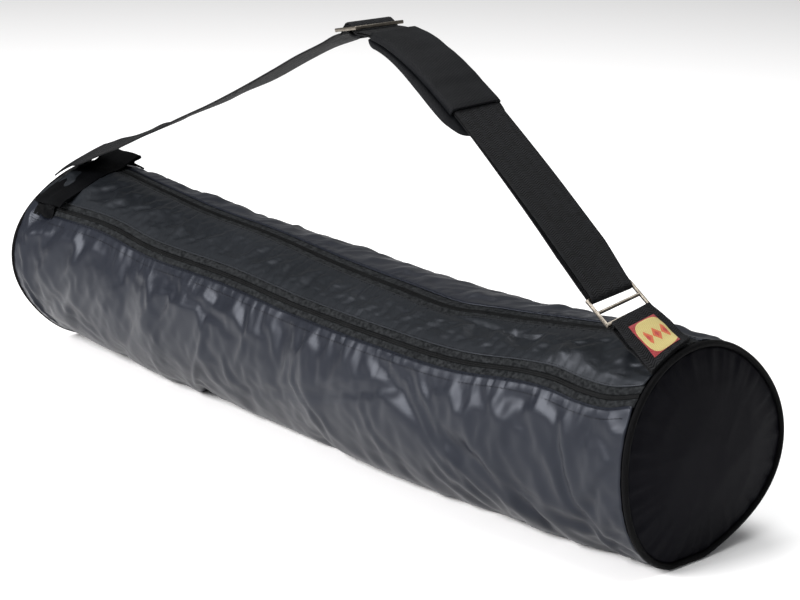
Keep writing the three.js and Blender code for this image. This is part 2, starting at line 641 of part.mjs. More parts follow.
// A buckle: a flat frame with a round bar across its middle.
function buckle(name, middleS, middleN) {
  const innerHalf = WEB_WIDTH / 2 + BUCKLE_SIDE_CLEAR;
  const outerHalf = innerHalf + SIDE_BAR;
  const corner = 1.4;
  const outline = new THREE.Shape();
  outline.moveTo(-halfBuckle + corner, -outerHalf);
  outline.lineTo(halfBuckle - corner, -outerHalf);
  outline.absarc(halfBuckle - corner, -outerHalf + corner, corner, -Math.PI / 2, 0);
  outline.lineTo(halfBuckle, outerHalf - corner);
  outline.absarc(halfBuckle - corner, outerHalf - corner, corner, 0, Math.PI / 2);
  outline.lineTo(-halfBuckle + corner, outerHalf);
  outline.absarc(-halfBuckle + corner, outerHalf - corner, corner, Math.PI / 2, Math.PI);
  outline.lineTo(-halfBuckle, -outerHalf + corner);
  outline.absarc(-halfBuckle + corner, -outerHalf + corner, corner, Math.PI, 1.5 * Math.PI);
  const slot = halfBuckle - CROSS_BAR;
  const hole = new THREE.Path();
  hole.moveTo(-slot, -innerHalf);
  hole.lineTo(-slot, innerHalf);
  hole.lineTo(slot, innerHalf);
  hole.lineTo(slot, -innerHalf);
  hole.closePath();
  outline.holes.push(hole);
  const settings = { depth: BUCKLE_THICK, bevelEnabled: false, curveSegments: 2 };
  const frame = new THREE.ExtrudeGeometry(outline, settings);
  frame.translate(0, 0, -BUCKLE_THICK / 2);
  const barLength = 2 * innerHalf + SIDE_BAR;
  const bar = new THREE.CylinderGeometry(CENTRE_BAR_RADIUS, CENTRE_BAR_RADIUS, barLength, 8);
  const joined = geometryOf(solidOf(frame).add(solidOf(bar)));
  const placed = carried(joined, (x, y, z) => strapPoint(middleS + x, y, middleN + z));
  piece(strap, name, placed, "nickel");
}

// The foam pad under the strap, with rounded ends, a crowned face and rolled edges. It
// reaches further past the webbing at the back than at the front, in shares of its width.
const PAD_OUTLINE = [
  { along: 0.0, front: 0.34, back: 0.38 },
  { along: 0.04, front: 0.37, back: 0.44 },
  { along: 0.1, front: 0.38, back: 0.49 },
  { along: 0.3, front: 0.41, back: 0.53 },
  { along: 0.55, front: 0.46, back: 0.52 },
  { along: 0.82, front: 0.47, back: 0.48 },
  { along: 0.92, front: 0.4, back: 0.42 },
  { along: 0.97, front: 0.32, back: 0.33 },
  { along: 1.0, front: 0.2, back: 0.2 },
];
const padTop = -(layerLift + halfWeb + FIT_GAP);

function padBody() {
  const last = PAD_STATIONS.length - 1;
  const geometry = bentBox(last, 8, (u, v, w) => {
    const place = PAD_STATIONS[Math.round(u * last)];
    const across = Math.sin((v - 0.5) * Math.PI);
    const half = columnAt(PAD_OUTLINE, v < 0.5 ? "front" : "back", place) * PAD_WIDTH;
    const edge = Math.sqrt(1 - Math.abs(across) ** 3);
    const end = Math.min(1, 0.45 + 6 * Math.min(place, 1 - place));
    const thick = PAD_THICK * (0.3 + 0.7 * edge) * end;
    return strapPoint(padFromS + place * PAD_LENGTH, across * half, padTop - (1 - w) * thick);
  });
  piece(strap, "pad_body", geometry, "padCloth");
}

// The sleeve sewn to the pad along both edges, over both layers of the strap.
const SLEEVE_ARCH = [
  { across: -1.0, height: 0.0 },
  { across: -1.0, height: 0.9 },
  { across: -0.97, height: 1.0 },
  { across: 0.0, height: 1.0 },
  { across: 0.97, height: 1.0 },
  { across: 1.0, height: 0.9 },
  { across: 1.0, height: 0.0 },
];

function padSleeve() {
  const innerHalf = WEB_WIDTH / 2 + 3 * FIT_GAP;
  const innerTop = layerLift + halfWeb + FIT_GAP;
  const foot = padTop + SEAM_GAP;
  const last = SLEEVE_ARCH.length - 1;
  const spans = SLEEVE_LAST - SLEEVE_FIRST;
  const geometry = bentBox(spans, last, (u, v, w) => {
    const row = SLEEVE_ARCH[Math.round(v * last)];
    const s = padStationS(SLEEVE_FIRST + Math.round(u * spans));
    const half = innerHalf + w * SLEEVE_WALL;
    const top = innerTop + w * SLEEVE_WALL;
    return strapPoint(s, row.across * half, THREE.MathUtils.lerp(foot, top, row.height));
  });
  piece(strap, "pad_sleeve", geometry, "padCloth");
}

// The tab: a doubled webbing from the right rim, looped round the lower buckle's other bar.
const tabLoopS = lowerBuckleS + crossBarS;
const tabFromS = tabLoopS + LOWER_LEAD;
const TAB_STATIONS = 9; // spans of the tab's straight run, which its patch shares
const PATCH_FIRST = 1;
const PATCH_LAST = 8;

// A place on the tab's face, side 1, or under it, side -1.
function tabPlace(station, side) {
  const share = station / TAB_STATIONS;
  const s = THREE.MathUtils.lerp(tabFromS, archLength, share);
  return new THREE.Vector2(s, side * THREE.MathUtils.lerp(turnRadius, layerLift, share));
}

function rightTab() {
  const face = [];
  for (let i = 0; i <= TAB_STATIONS; i += 1) face.push(tabPlace(i, 1));
  const under = face.map((point) => new THREE.Vector2(point.x, -point.y)).reverse();
  const route = [...under, ...arc(tabLoopS, 0, turnRadius, 270, 450, 6), ...face];
  piece(strap, "right_tab", ribbon(route, 4), "webbing");
}

// The woven patch sewn on the tab's face
function tabPatch() {
  const spans = PATCH_LAST - PATCH_FIRST;
  const geometry = bentBox(spans, 3, (u, v, w) => {
    const place = tabPlace(PATCH_FIRST + Math.round(u * spans), 1);
    const n = place.y + halfWeb + FIT_GAP + w * PATCH_THICK;
    return strapPoint(place.x, (v - 0.5) * PATCH_WIDTH + PATCH_ASIDE, n);
  });
  piece(strap, "tab_patch", geometry, "patch");
}

bodyPanel();
topPanel();
zips();
slider();
piping("left_piping", -1);
piping("right_piping", 1);
endPanel("left_end_panel", -1);
endPanel("right_end_panel", 1);
leftBand();
shoulderStrap();
buckle("upper_buckle", upperBuckleS, upperBuckleN);
buckle("lower_buckle", lowerBuckleS, 0);
padBody();
padSleeve();
rightTab();
tabPatch();

export default bag;
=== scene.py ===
import math

import bpy
import numpy as np
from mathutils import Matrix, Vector


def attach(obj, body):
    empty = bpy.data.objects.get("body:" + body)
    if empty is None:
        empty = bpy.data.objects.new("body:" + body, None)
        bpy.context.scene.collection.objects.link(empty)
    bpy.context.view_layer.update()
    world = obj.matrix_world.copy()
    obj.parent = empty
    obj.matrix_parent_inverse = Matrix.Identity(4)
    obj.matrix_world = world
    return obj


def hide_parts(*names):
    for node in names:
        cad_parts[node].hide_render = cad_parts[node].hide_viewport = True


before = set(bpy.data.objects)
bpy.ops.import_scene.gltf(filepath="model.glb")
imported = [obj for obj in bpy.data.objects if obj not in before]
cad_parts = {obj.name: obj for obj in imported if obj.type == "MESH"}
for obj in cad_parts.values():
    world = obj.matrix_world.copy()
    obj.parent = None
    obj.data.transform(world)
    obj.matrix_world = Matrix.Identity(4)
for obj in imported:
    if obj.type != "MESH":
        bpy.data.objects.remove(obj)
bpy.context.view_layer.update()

# Yoga mat bag: nylon tube, two zips, piped ends, webbing strap with a foam pad.
# The shape functions work in millimetres, as the frame's source does, and the meshes in metres.
bpy.ops.object.select_all(action="DESELECT")
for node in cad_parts.values():
    node.hide_set(True)
print("frame loaded:", len(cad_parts), "nodes")


# shared shape of the bag
bag = {
    "length": 690, "radius": 75, "cloth": 1.2, "seamGap": 0.3,
    "pipingRadius": 2.2, "pipingProud": 0.6, "endCrown": 7, "rimReach": 0.4,
}
halfLength = bag["length"] / 2
radius = bag["radius"]
endClear = bag["pipingRadius"] + bag["seamGap"]

# along, shiftY, centreZ, wide, high: the tube's section in shares of the radius
sections = [
    (-1.0, 0.0, 0.99, 0.99, 0.99), (-0.87, 0.02, 0.99, 0.985, 0.985),
    (-0.68, 0.035, 0.95, 1.01, 0.98), (-0.45, 0.02, 0.915, 1.04, 0.965),
    (-0.1, 0.035, 0.89, 1.05, 0.945), (0.25, -0.015, 0.88, 1.09, 0.94),
    (0.5, -0.02, 0.88, 1.09, 0.945), (0.7, 0.0, 0.915, 1.06, 0.975),
    (0.87, 0.015, 0.965, 1.01, 0.99), (1.0, 0.02, 0.97, 1.01, 1.0),
]
# end, waves round it, cosine and sine shares
rimWaves = [
    (1, 2, 0.014, -0.008), (1, 3, 0.042, -0.012), (1, 4, 0.0, -0.012),
    (-1, 2, 0.01, -0.002), (-1, 3, -0.017, 0.008), (-1, 4, 0.015, -0.011),
]
# along, angle, half size along, half size round, slant, depth
mainFolds = [
    (-0.93, 146, 0.035, 6, 0, 0.07), (-0.965, 150, 0.02, 14, 0, -0.03),
    (-0.55, 170, 0.04, 30, 0, 0.05), (-0.45, 190, 0.035, 22, 0, -0.035),
    (-0.3, 160, 0.07, 14, 60, 0.03), (0.02, 165, 0.04, 24, 0, 0.05),
    (0.12, 185, 0.035, 26, 0, -0.04), (0.24, 178, 0.05, 22, -80, 0.045),
    (0.5, 180, 0.05, 26, 160, 0.055), (0.62, 192, 0.05, 22, 160, 0.045),
    (0.76, 205, 0.05, 24, 120, 0.03), (0.8, 126, 0.07, 7, 0, -0.05),
    (0.7, 120, 0.1, 6, 20, 0.04), (0.3, 60, 0.3, 16, 0, 0.03),
    (-0.2, 20, 0.06, 30, 0, 0.035), (0.55, 10, 0.06, 30, 60, 0.035),
]
# along, angle of each zip's middle line
frontZip = [
    (-1.0, 138), (-0.87, 138.5), (-0.7, 136.5), (-0.5, 139), (-0.25, 138.5), (0.0, 141),
    (0.3, 141), (0.55, 141), (0.7, 139), (0.78, 140), (0.86, 143.5), (0.93, 143.5), (1.0, 138),
]
rearZip = [
    (-1.0, 86), (-0.87, 88), (-0.7, 93), (-0.5, 97), (-0.25, 99), (0.0, 105),
    (0.25, 108), (0.42, 110), (0.52, 106), (0.7, 103), (0.82, 101), (1.0, 97),
]


def columnAt(rows, column, along):  # smooth value of a table's column
    along = np.asarray(along, float)
    places = np.array([row[0] for row in rows], float)
    values = np.array([row[column] for row in rows], float)
    i = np.clip(np.searchsorted(places, along, side="left") - 1, 0, len(rows) - 2)
    before, after = np.maximum(i - 1, 0), np.minimum(i + 2, len(rows) - 1)
    span = places[i + 1] - places[i]
    slopeA = (values[i + 1] - values[before]) / (places[i + 1] - places[before]) * span
    slopeB = (values[after] - values[i]) / (places[after] - places[i]) * span
    t = np.clip((along - places[i]) / span, 0, 1)
    return ((2 * t**3 - 3 * t**2 + 1) * values[i] + (t**3 - 2 * t**2 + t) * slopeA
            + (3 * t**2 - 2 * t**3) * values[i + 1] + (t**3 - t**2) * slopeB)


def rimShare(along, angle):
    share = 0
    for end, waves, cosine, sine in rimWaves:
        near = np.maximum(0, 1 - (1 - along * end) / bag["rimReach"])
        turn = np.radians(waves * angle)
        share = share + near * (cosine * np.cos(turn) + sine * np.sin(turn))
    return share


def foldDepth(along, angle):
    depth = 0
    for place, at, halfAlong, halfAngle, slant, deep in mainFolds:
        angleOff = (angle - at) / halfAngle
        lean = (angle - at) / slant if slant else 0
        alongOff = (along - place - lean) / halfAlong
        depth = depth + deep * np.exp(-angleOff**2 - alongOff**2)
    return depth * np.minimum((1 - np.abs(along)) / 0.04, 1) * radius


def bagPoint(x, angle, lift):  # a point of the bag's outer face, raised by lift
    x, angle, lift = np.broadcast_arrays(np.asarray(x, float), np.asarray(angle, float), np.asarray(lift, float))
    along = x / halfLength
    reach = 1 + rimShare(along, angle)
    out = lift - foldDepth(along, angle)
    wide = columnAt(sections, 3, along) * radius * reach + out
    high = columnAt(sections, 4, along) * radius * reach + out
    y = columnAt(sections, 1, along) * radius + wide * np.cos(np.radians(angle))
    z = columnAt(sections, 2, along) * radius + high * np.sin(np.radians(angle))
    z = np.maximum(z, np.maximum(-lift, 0))
    return np.stack([x, y, z], -1)


def zipAngle(zipRows, x, distance):
    return columnAt(zipRows, 1, np.asarray(x) / halfLength) + np.degrees(distance / radius)


def unit(vectors):  # each row at length 1
    return vectors / np.linalg.norm(vectors, axis=-1, keepdims=True)


def runOf(points):  # length of the line up to each of its points
    return np.concatenate([[0], np.cumsum(np.linalg.norm(np.diff(points, axis=0), axis=1))])


def valuesAt(at, run, values):  # a table's rows at lengths along its line
    return np.stack([np.interp(at, run, values[:, k]) for k in range(values.shape[1])], 1)


# mesh helpers
def deselectAll():
    if bpy.context.object and bpy.context.object.mode != "OBJECT":
        bpy.ops.object.mode_set(mode="OBJECT")
    bpy.ops.object.select_all(action="DESELECT")


def addPrimitive(add, name, **settings):  # add is the bpy.ops call that makes the mesh
    deselectAll()
    add(**settings)
    piece = bpy.context.active_object
    piece.name = piece.data.name = name
    return piece


def editWhole(piece, *steps):  # each step acts on the whole mesh in edit mode
    bpy.context.view_layer.objects.active = piece
    bpy.ops.object.mode_set(mode="EDIT")
    for step in steps:
        bpy.ops.mesh.select_all(action="SELECT")
        step()
    bpy.ops.object.mode_set(mode="OBJECT")



def vertexPlaces(piece):
    places = np.empty(len(piece.data.vertices) * 3, np.float32)
    piece.data.vertices.foreach_get("co", places)
    return places.reshape(-1, 3).astype(float)


def placeVertices(piece, places):  # places in millimetres
    piece.data.vertices.foreach_set("co", (np.asarray(places) * 0.001).astype(np.float32).ravel())
    piece.data.update()


def applyModifier(piece, kind, **settings):
    modifier = piece.modifiers.new(kind.title(), kind)
    for key, value in settings.items():
        setattr(modifier, key, value)
    bpy.context.view_layer.objects.active = piece
    bpy.ops.object.modifier_apply(modifier=modifier.name)


def solidify(piece, thick, offset=-1):  # thick in millimetres
    applyModifier(piece, "SOLIDIFY", thickness=thick * 0.001, offset=offset)


def smooth(piece, angle=None):
    deselectAll()
    piece.select_set(True)
    bpy.context.view_layer.objects.active = piece
    if angle is None:
        bpy.ops.object.shade_smooth()
    else:
        bpy.ops.object.shade_smooth_by_angle(angle=math.radians(angle))


def addSheet(name, alongCount, acrossCount, carry, uvSize):
    # a grid primitive whose points are carried to their places, with its UV map in metres
    piece = addPrimitive(bpy.ops.mesh.primitive_grid_add, name,
                         x_subdivisions=alongCount, y_subdivisions=acrossCount, size=1)
    flat = vertexPlaces(piece)
    u, v = flat[:, 0] + 0.5, flat[:, 1] + 0.5
    loopVertex = np.empty(len(piece.data.loops), np.int32)
    piece.data.loops.foreach_get("vertex_index", loopVertex)
    uv = np.stack([u[loopVertex] * uvSize[0], v[loopVertex] * uvSize[1]], 1)
    piece.data.uv_layers[0].data.foreach_set("uv", uv.astype(np.float32).ravel())
    placeVertices(piece, carry(u, v))
    return piece


def closeSeam(piece):  # joins a sheet's two long edges and fills its ends
    editWhole(piece, lambda: bpy.ops.mesh.remove_doubles(threshold=0.00001),
              lambda: bpy.ops.mesh.fill_holes(sides=0),
              lambda: bpy.ops.mesh.normals_make_consistent(inside=False))


def finishPiece(piece, material, replaces=(), angle=None):
    piece.data.materials.clear()
    piece.data.materials.append(material)
    smooth(piece, angle)
    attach(piece, "root")
    if replaces:
        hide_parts(*replaces)
    return piece


# shader groups
def setSocket(tree, socket, value):  # value is a number, a tuple or another node's output
    if isinstance(value, bpy.types.NodeSocket):
        tree.links.new(value, socket)
    else:
        socket.default_value = value


def addNode(tree, kind, inputs=None, **settings):
    node = tree.nodes.new(kind)
    for key, value in settings.items():
        setattr(node, key, value)
    for key, value in (inputs or {}).items():
        setSocket(tree, node.inputs[key], value)
    return node


def mathNode(tree, operation, *values):
    return addNode(tree, "ShaderNodeMath", dict(enumerate(values)), operation=operation).outputs[0]


def mixNode(tree, factor, first, second, **settings):
    inputs = {"Factor": factor, "A": first, "B": second}
    return addNode(tree, "ShaderNodeMix", inputs, data_type="RGBA", **settings).outputs["Result"]


def uvParts(tree):  # the piece's own UV map, in metres along and across
    uv = addNode(tree, "ShaderNodeUVMap")
    return addNode(tree, "ShaderNodeSeparateXYZ", {0: uv.outputs[0]}).outputs


socketKinds = {1: "NodeSocketFloat", 3: "NodeSocketVector", 4: "NodeSocketColor"}  # by count of numbers


def newGroup(name, inputs, outputs):  # inputs by default value, outputs by count of numbers
    group = bpy.data.node_groups.new(name, "ShaderNodeTree")
    for label, value in inputs.items():
        kind = socketKinds[np.size(value)]
        group.interface.new_socket(name=label, in_out="INPUT", socket_type=kind).default_value = value
    for label, count in outputs.items():
        group.interface.new_socket(name=label, in_out="OUTPUT", socket_type=socketKinds[count])
    return group, group.nodes.new("NodeGroupInput").outputs


def makeWeave():  # plain weave read from the piece's own UV map
    group, given = newGroup("weave", {"Threads": 1500.0, "Rib Ratio": 1.0}, {"Height": 1, "Thread": 1})
    uv = uvParts(group)
    turn = mathNode(group, "MULTIPLY", given["Threads"], math.pi)
    ribs = mathNode(group, "MULTIPLY", turn, given["Rib Ratio"])
    warp = mathNode(group, "SINE", mathNode(group, "MULTIPLY", uv[0], turn))
    weft = mathNode(group, "SINE", mathNode(group, "MULTIPLY", uv[1], ribs))
    over = mathNode(group, "MULTIPLY", warp, weft)
    addNode(group, "NodeGroupOutput", {"Height": mathNode(group, "MULTIPLY_ADD", over, 0.5, 0.5),
                                       "Thread": mathNode(group, "ABSOLUTE", over)})
    return group


def makeRibs():  # webbing: ribs across the run, broken into a herringbone of columns
    group, given = newGroup("webbingRibs", {"Rib Pitch": 0.0014, "Column Pitch": 0.0035}, {"Height": 1})
    uv = uvParts(group)
    columns = mathNode(group, "DIVIDE", uv[1], given["Column Pitch"])
    saw = mathNode(group, "PINGPONG", columns, 1.0)
    along = mathNode(group, "DIVIDE", uv[0], given["Rib Pitch"])
    phase = mathNode(group, "ADD", along, mathNode(group, "MULTIPLY", saw, 1.1))
    wave = mathNode(group, "SINE", mathNode(group, "MULTIPLY", phase, 2 * math.pi))
    edge = mathNode(group, "SINE", mathNode(group, "MULTIPLY", columns, math.pi))
    ribs = mathNode(group, "MULTIPLY_ADD", wave, 0.35, 0.5)
    height = mathNode(group, "MULTIPLY_ADD", mathNode(group, "ABSOLUTE", edge), 0.3, ribs)
    addNode(group, "NodeGroupOutput", {"Height": height})
    return group


def makeCrinkle():  # fine creases of thin cloth, in object space
    group, given = newGroup("crinkle", {"Scale": 60.0, "Fine": 0.35, "Stretch": (1, 1, 1)},
                            {"Height": 1, "Mottle": 1})
    place = addNode(group, "ShaderNodeTexCoord").outputs["Object"]
    stretched = addNode(group, "ShaderNodeVectorMath", {0: place, 1: given["Stretch"]}, operation="MULTIPLY").outputs[0]
    ridges = addNode(group, "ShaderNodeTexNoise", {
        "Vector": stretched, "Scale": given["Scale"], "Detail": 2.5, "Roughness": 0.45, "Distortion": 0.4,
    }, noise_type="RIDGED_MULTIFRACTAL").outputs[0]
    softScale = mathNode(group, "MULTIPLY", given["Scale"], 0.6)
    soft = addNode(group, "ShaderNodeTexNoise", {"Vector": stretched, "Scale": softScale, "Detail": 3.0}).outputs[0]
    low = mathNode(group, "MULTIPLY", ridges, given["Fine"])
    addNode(group, "NodeGroupOutput", {"Height": mathNode(group, "ADD", low, soft), "Mottle": soft})
    return group


def makeTone():  # slow colour drift with a little lint and wear
    group, given = newGroup("toneDrift", {"Base": (0.1, 0.1, 0.1, 1), "Worn": (0.2, 0.2, 0.2, 1),
                                          "Scale": 12.0, "Amount": 0.5}, {"Color": 4, "Mask": 1})
    place = addNode(group, "ShaderNodeTexCoord").outputs["Object"]
    slow = addNode(group, "ShaderNodeTexNoise", {"Vector": place, "Scale": given["Scale"], "Detail": 4.0})
    ramp = addNode(group, "ShaderNodeMapRange", {"Value": slow.outputs[0], "From Min": 0.35, "From Max": 0.7})
    mask = mathNode(group, "MULTIPLY", ramp.outputs[0], given["Amount"])
    addNode(group, "NodeGroupOutput", {"Color": mixNode(group, mask, given["Base"], given["Worn"]), "Mask": mask})
    return group


weaveGroup, ribsGroup, crinkleGroup, toneGroup = makeWeave(), makeRibs(), makeCrinkle(), makeTone()


def placeGroup(tree, group, **values):
    node = tree.nodes.new("ShaderNodeGroup")
    node.node_tree = group
    for key, value in values.items():
        node.inputs[key.replace("_", " ")].default_value = value
    return node.outputs


def startMaterial(name, **sockets):
    material = bpy.data.materials.new(name)
    material.use_nodes = True
    shader = material.node_tree.nodes["Principled BSDF"]
    for key, value in sockets.items():
        shader.inputs[key.replace("_", " ")].default_value = value
    return material, material.node_tree, shader


def toneInto(tree, shader, base, worn, scale, amount):
    tone = placeGroup(tree, toneGroup, Base=(*base, 1), Worn=(*worn, 1), Scale=scale, Amount=amount)
    tree.links.new(tone["Color"], shader.inputs["Base Color"])
    return tone["Mask"]


def bumpInto(tree, shader, height, distance, strength, under=None):
    bump = addNode(tree, "ShaderNodeBump", {"Distance": distance, "Strength": strength, "Height": height})
    if under is not None:
        tree.links.new(under, bump.inputs["Normal"])
    tree.links.new(bump.outputs[0], shader.inputs["Normal"])
    return bump.outputs[0]


def roughInto(tree, shader, mask, low, high):
    span = addNode(tree, "ShaderNodeMapRange", {"Value": mask, "To Min": low, "To Max": high})
    tree.links.new(span.outputs[0], shader.inputs["Roughness"])


# colours are linear, base and worn; rough is the lowest and highest roughness; distances are in metres
def nylon(name, base, worn, rough, specular, crease=0.0011, scale=34.0, stretch=(1, 1, 1)):
    material, tree, shader = startMaterial(name, Specular_IOR_Level=specular, Specular_Tint=(0.84, 0.89, 1, 1))
    toneInto(tree, shader, base, worn, 9.0, 0.6)
    crinkle = placeGroup(tree, crinkleGroup, Scale=scale, Fine=0.45, Stretch=stretch)
    weave = placeGroup(tree, weaveGroup, Threads=1400.0, Rib_Ratio=1.0)
    roughInto(tree, shader, crinkle["Mottle"], *rough)
    large = bumpInto(tree, shader, crinkle["Height"], crease, 0.55)
    bumpInto(tree, shader, weave["Height"], 0.00008, 0.5, large)
    return material


def woven(name, base, worn, rough, threads, depth, ratio=1.0, grain=60.0, amount=0.6, specular=0.06):
    material, tree, shader = startMaterial(name, Specular_IOR_Level=specular)
    mask = toneInto(tree, shader, base, worn, grain, amount)
    weave = placeGroup(tree, weaveGroup, Threads=threads, Rib_Ratio=ratio)
    roughInto(tree, shader, mask, rough, rough + 0.1)
    bumpInto(tree, shader, weave["Height"], depth, 0.9)
    return material


def webbingMaterial():
    material, tree, shader = startMaterial("webbing", Specular_IOR_Level=0.14)
    mask = toneInto(tree, shader, (0.0014, 0.0016, 0.0020), (0.0085, 0.0090, 0.0105), 300.0, 0.8)
    ribs = placeGroup(tree, ribsGroup, Rib_Pitch=0.0015, Column_Pitch=0.0032)
    roughInto(tree, shader, mask, 0.62, 0.78)
    bumpInto(tree, shader, ribs["Height"], 0.0006, 1.0)
    return material


def metalMaterial():
    material, tree, shader = startMaterial("satinNickel", Metallic=1.0)
    mask = toneInto(tree, shader, (0.17, 0.152, 0.128), (0.07, 0.061, 0.05), 260.0, 0.6)
    roughInto(tree, shader, mask, 0.28, 0.5)
    bumpInto(tree, shader, mask, 0.00004, 0.4)
    return material


materials = {
    "body": nylon("bodyNylon", (0.0060, 0.0072, 0.0112), (0.0100, 0.0115, 0.0165), (0.32, 0.43), 0.23),
    "top": nylon("topNylon", (0.0055, 0.0066, 0.0080), (0.0110, 0.0125, 0.0150), (0.38, 0.5), 0.23,
                 stretch=(1, 1.6, 1)),
    "end": nylon("endNylon", (0.0011, 0.0010, 0.0019), (0.0026, 0.0023, 0.0040), (0.42, 0.52), 0.04,
                 crease=0.0008, scale=22.0),
    "tape": woven("zipTape", (0.0040, 0.0046, 0.0052), (0.0230, 0.0245, 0.0260), 0.72, 1250.0, 0.0003,
                  ratio=0.9, grain=420.0, amount=0.9),
    "coil": woven("zipCoil", (0.0014, 0.0016, 0.0018), (0.0060, 0.0064, 0.0068), 0.5, 900.0, 0.0001),
    "piping": woven("pipingCloth", (0.0006, 0.0006, 0.0009), (0.0016, 0.0016, 0.0020), 0.55, 1000.0, 0.0001),
    "band": woven("bandCloth", (0.0007, 0.0008, 0.0011), (0.0022, 0.0024, 0.0029), 0.58, 1100.0, 0.00012,
                  specular=0.04),
    "pad": woven("padCloth", (0.0022, 0.0025, 0.0032), (0.0060, 0.0065, 0.0076), 0.46, 1100.0, 0.00012),
    "thread": woven("thread", (0.0060, 0.0062, 0.0075), (0.0130, 0.0132, 0.0150), 0.6, 3000.0, 0.00005),
    "webbing": webbingMaterial(),
    "metal": metalMaterial(),
}
print("materials made:", len(materials))


# how the cloth crumples
crumple = {"seed": 11, "tableSize": 64, "bodyDepth": 0.8, "bodyLevel": 1.25, "topDepth": 1.0, "topLevel": 0.9}
# cell along and round in mm, slant in degrees, random pick, height in mm
bodyFacets = [(34, 62, 8, 1, 2.1), (62, 26, 35, 2, 1.2)]
topFacets = [(40, 12, -28, 5, 1.0), (80, 26, -20, 6, 1.0)]
# pleats along the zips and puckers round the ends, in mm; onTop is their share on the top panel
gather = {
    "height": 0.8, "reach": 12, "leastReach": 4, "from": 9, "pitch": 1.55, "fan": 0.15, "onTop": 0.8,
    "puckerHeight": 0.5, "puckerPitch": 2.6, "puckerReach": 20, "rimFade": 6,
}
rng = np.random.default_rng(crumple["seed"])
seedTable = rng.random((crumple["tableSize"], crumple["tableSize"], 3))
phases = rng.random(crumple["tableSize"]) * 2 * math.pi


def wander(x, step, pick):  # smooth random line, about -1 to 1
    return (np.sin(x / step + phases[pick]) + 0.7 * np.sin(x / step * 1.73 + phases[pick + 1])
            + 0.5 * np.sin(x / step * 2.91 + phases[pick + 2])) / 1.6


def facets(s, t, cellS, cellT, slant, pick):
    # bowls that meet in sharp crests, as thin stiff cloth does; 0 at the bottom of a bowl
    turn = math.radians(slant)
    a = (s * math.cos(turn) + t * math.sin(turn)) / cellS
    b = (-s * math.sin(turn) + t * math.cos(turn)) / cellT
    a = a + 0.32 * np.sin(b * 1.7 + phases[pick]) + 0.16 * np.sin(b * 4.1 + phases[pick + 1])
    b = b + 0.28 * np.sin(a * 1.3 + phases[pick + 2])
    ia, ib = np.floor(a).astype(int), np.floor(b).astype(int)
    best = np.full(a.shape, 9.0)
    for da in range(-2, 3):
        for db in range(-2, 3):
            seed = seedTable[(ia + da + 7 * pick) % 64, (ib + db + 13 * pick) % 64]
            away = (a - ia - da - seed[..., 0]) ** 2 + (b - ib - db - seed[..., 1]) ** 2
            best = np.minimum(best, away * (0.75 + 0.5 * seed[..., 2]) + 0.45 * seed[..., 2])
    return best


# crest (up, over 0) and trough lines of the cloth: height mm, half width mm, then along, angle points
creases = [
    (2.0, 4, [(-0.60, 150), (-0.62, 165), (-0.57, 178), (-0.60, 196)]),
    (1.6, 4, [(-0.52, 150), (-0.55, 165), (-0.62, 180), (-0.66, 200)]),
    (-1.6, 5, [(-0.56, 150), (-0.585, 172)]),
    (-1.5, 5, [(-0.59, 182), (-0.63, 205)]),
    (1.8, 5, [(-0.93, 165), (-0.88, 185), (-0.80, 205), (-0.70, 220)]),
    (1.3, 4, [(-0.96, 180), (-0.93, 200), (-0.86, 222)]),
    (-1.4, 6, [(-0.90, 170), (-0.84, 192), (-0.76, 210)]),
    (1.8, 4, [(-0.10, 150), (-0.09, 165), (-0.12, 185)]),
    (1.8, 4, [(-0.02, 150), (-0.01, 166), (0.03, 184)]),
    (-1.7, 6, [(-0.05, 150), (-0.05, 175)]),
    (1.7, 4, [(0.05, 154), (0.09, 168), (0.07, 184), (0.14, 200)]),
    (2.2, 5, [(0.46, 158), (0.52, 175), (0.55, 192), (0.62, 210)]),
    (-2.0, 7, [(0.42, 165), (0.48, 182), (0.54, 202)]),
    (2.0, 5, [(0.60, 170), (0.64, 186), (0.72, 205), (0.80, 222)]),
    (-1.6, 6, [(0.57, 176), (0.62, 192), (0.70, 212)]),
    (1.6, 4, [(0.84, 158), (0.86, 180), (0.88, 200), (0.94, 218)]),
    (1.4, 4, [(0.90, 160), (0.93, 182), (0.97, 205)]),
    (-1.3, 5, [(0.87, 165), (0.90, 190), (0.93, 210)]),
    (3.2, 6, [(0.76, 118), (0.78, 127), (0.79, 134)]),
    (-2.0, 6, [(0.72, 122), (0.73, 133)]),
    (1.6, 4, [(0.80, 122), (0.88, 124), (0.96, 123)]),
    (-1.4, 4, [(0.81, 126), (0.89, 129), (0.96, 128)]),
    (1.3, 4, [(0.82, 130), (0.90, 133), (0.97, 133)]),
]


def creaseHeight(x, angle):
    s, t = x, np.radians(angle) * radius
    total = np.zeros_like(s)
    for height, width, path in creases:
        line = np.array([(along * halfLength, math.radians(turn) * radius) for along, turn in path])
        lengths = np.hypot(*np.diff(line, axis=0).T)
        whole, before = lengths.sum(), 0.0
        best, share = np.full(s.shape, 1e9), np.zeros_like(s)
        for i, length in enumerate(lengths):
            run = (line[i + 1] - line[i]) / length
            q = np.clip((s - line[i, 0]) * run[0] + (t - line[i, 1]) * run[1], 0, length)
            away = np.hypot(s - line[i, 0] - q * run[0], t - line[i, 1] - q * run[1])
            nearer = away < best
            best = np.where(nearer, away, best)
            share = np.where(nearer, (before + q) / whole, share)
            before += length
        taper = np.sin(np.pi * np.clip(share, 0.02, 0.98)) ** 0.6
        total += height * taper * np.exp(-np.sqrt((best / width) ** 2 + 0.05) * 1.3)
    return total


def away(zipRows, x, angle):  # distance in mm round the tube from a zip's middle line
    return np.radians(angle - columnAt(zipRows, 1, x / halfLength)) * radius


def zipDistance(x, angle):  # mm to the nearest zip's middle line
    return np.minimum(np.abs(away(frontZip, x, angle)),
                      np.minimum(np.abs(away(rearZip, x, angle)), np.abs(away(rearZip, x, angle - 360))))


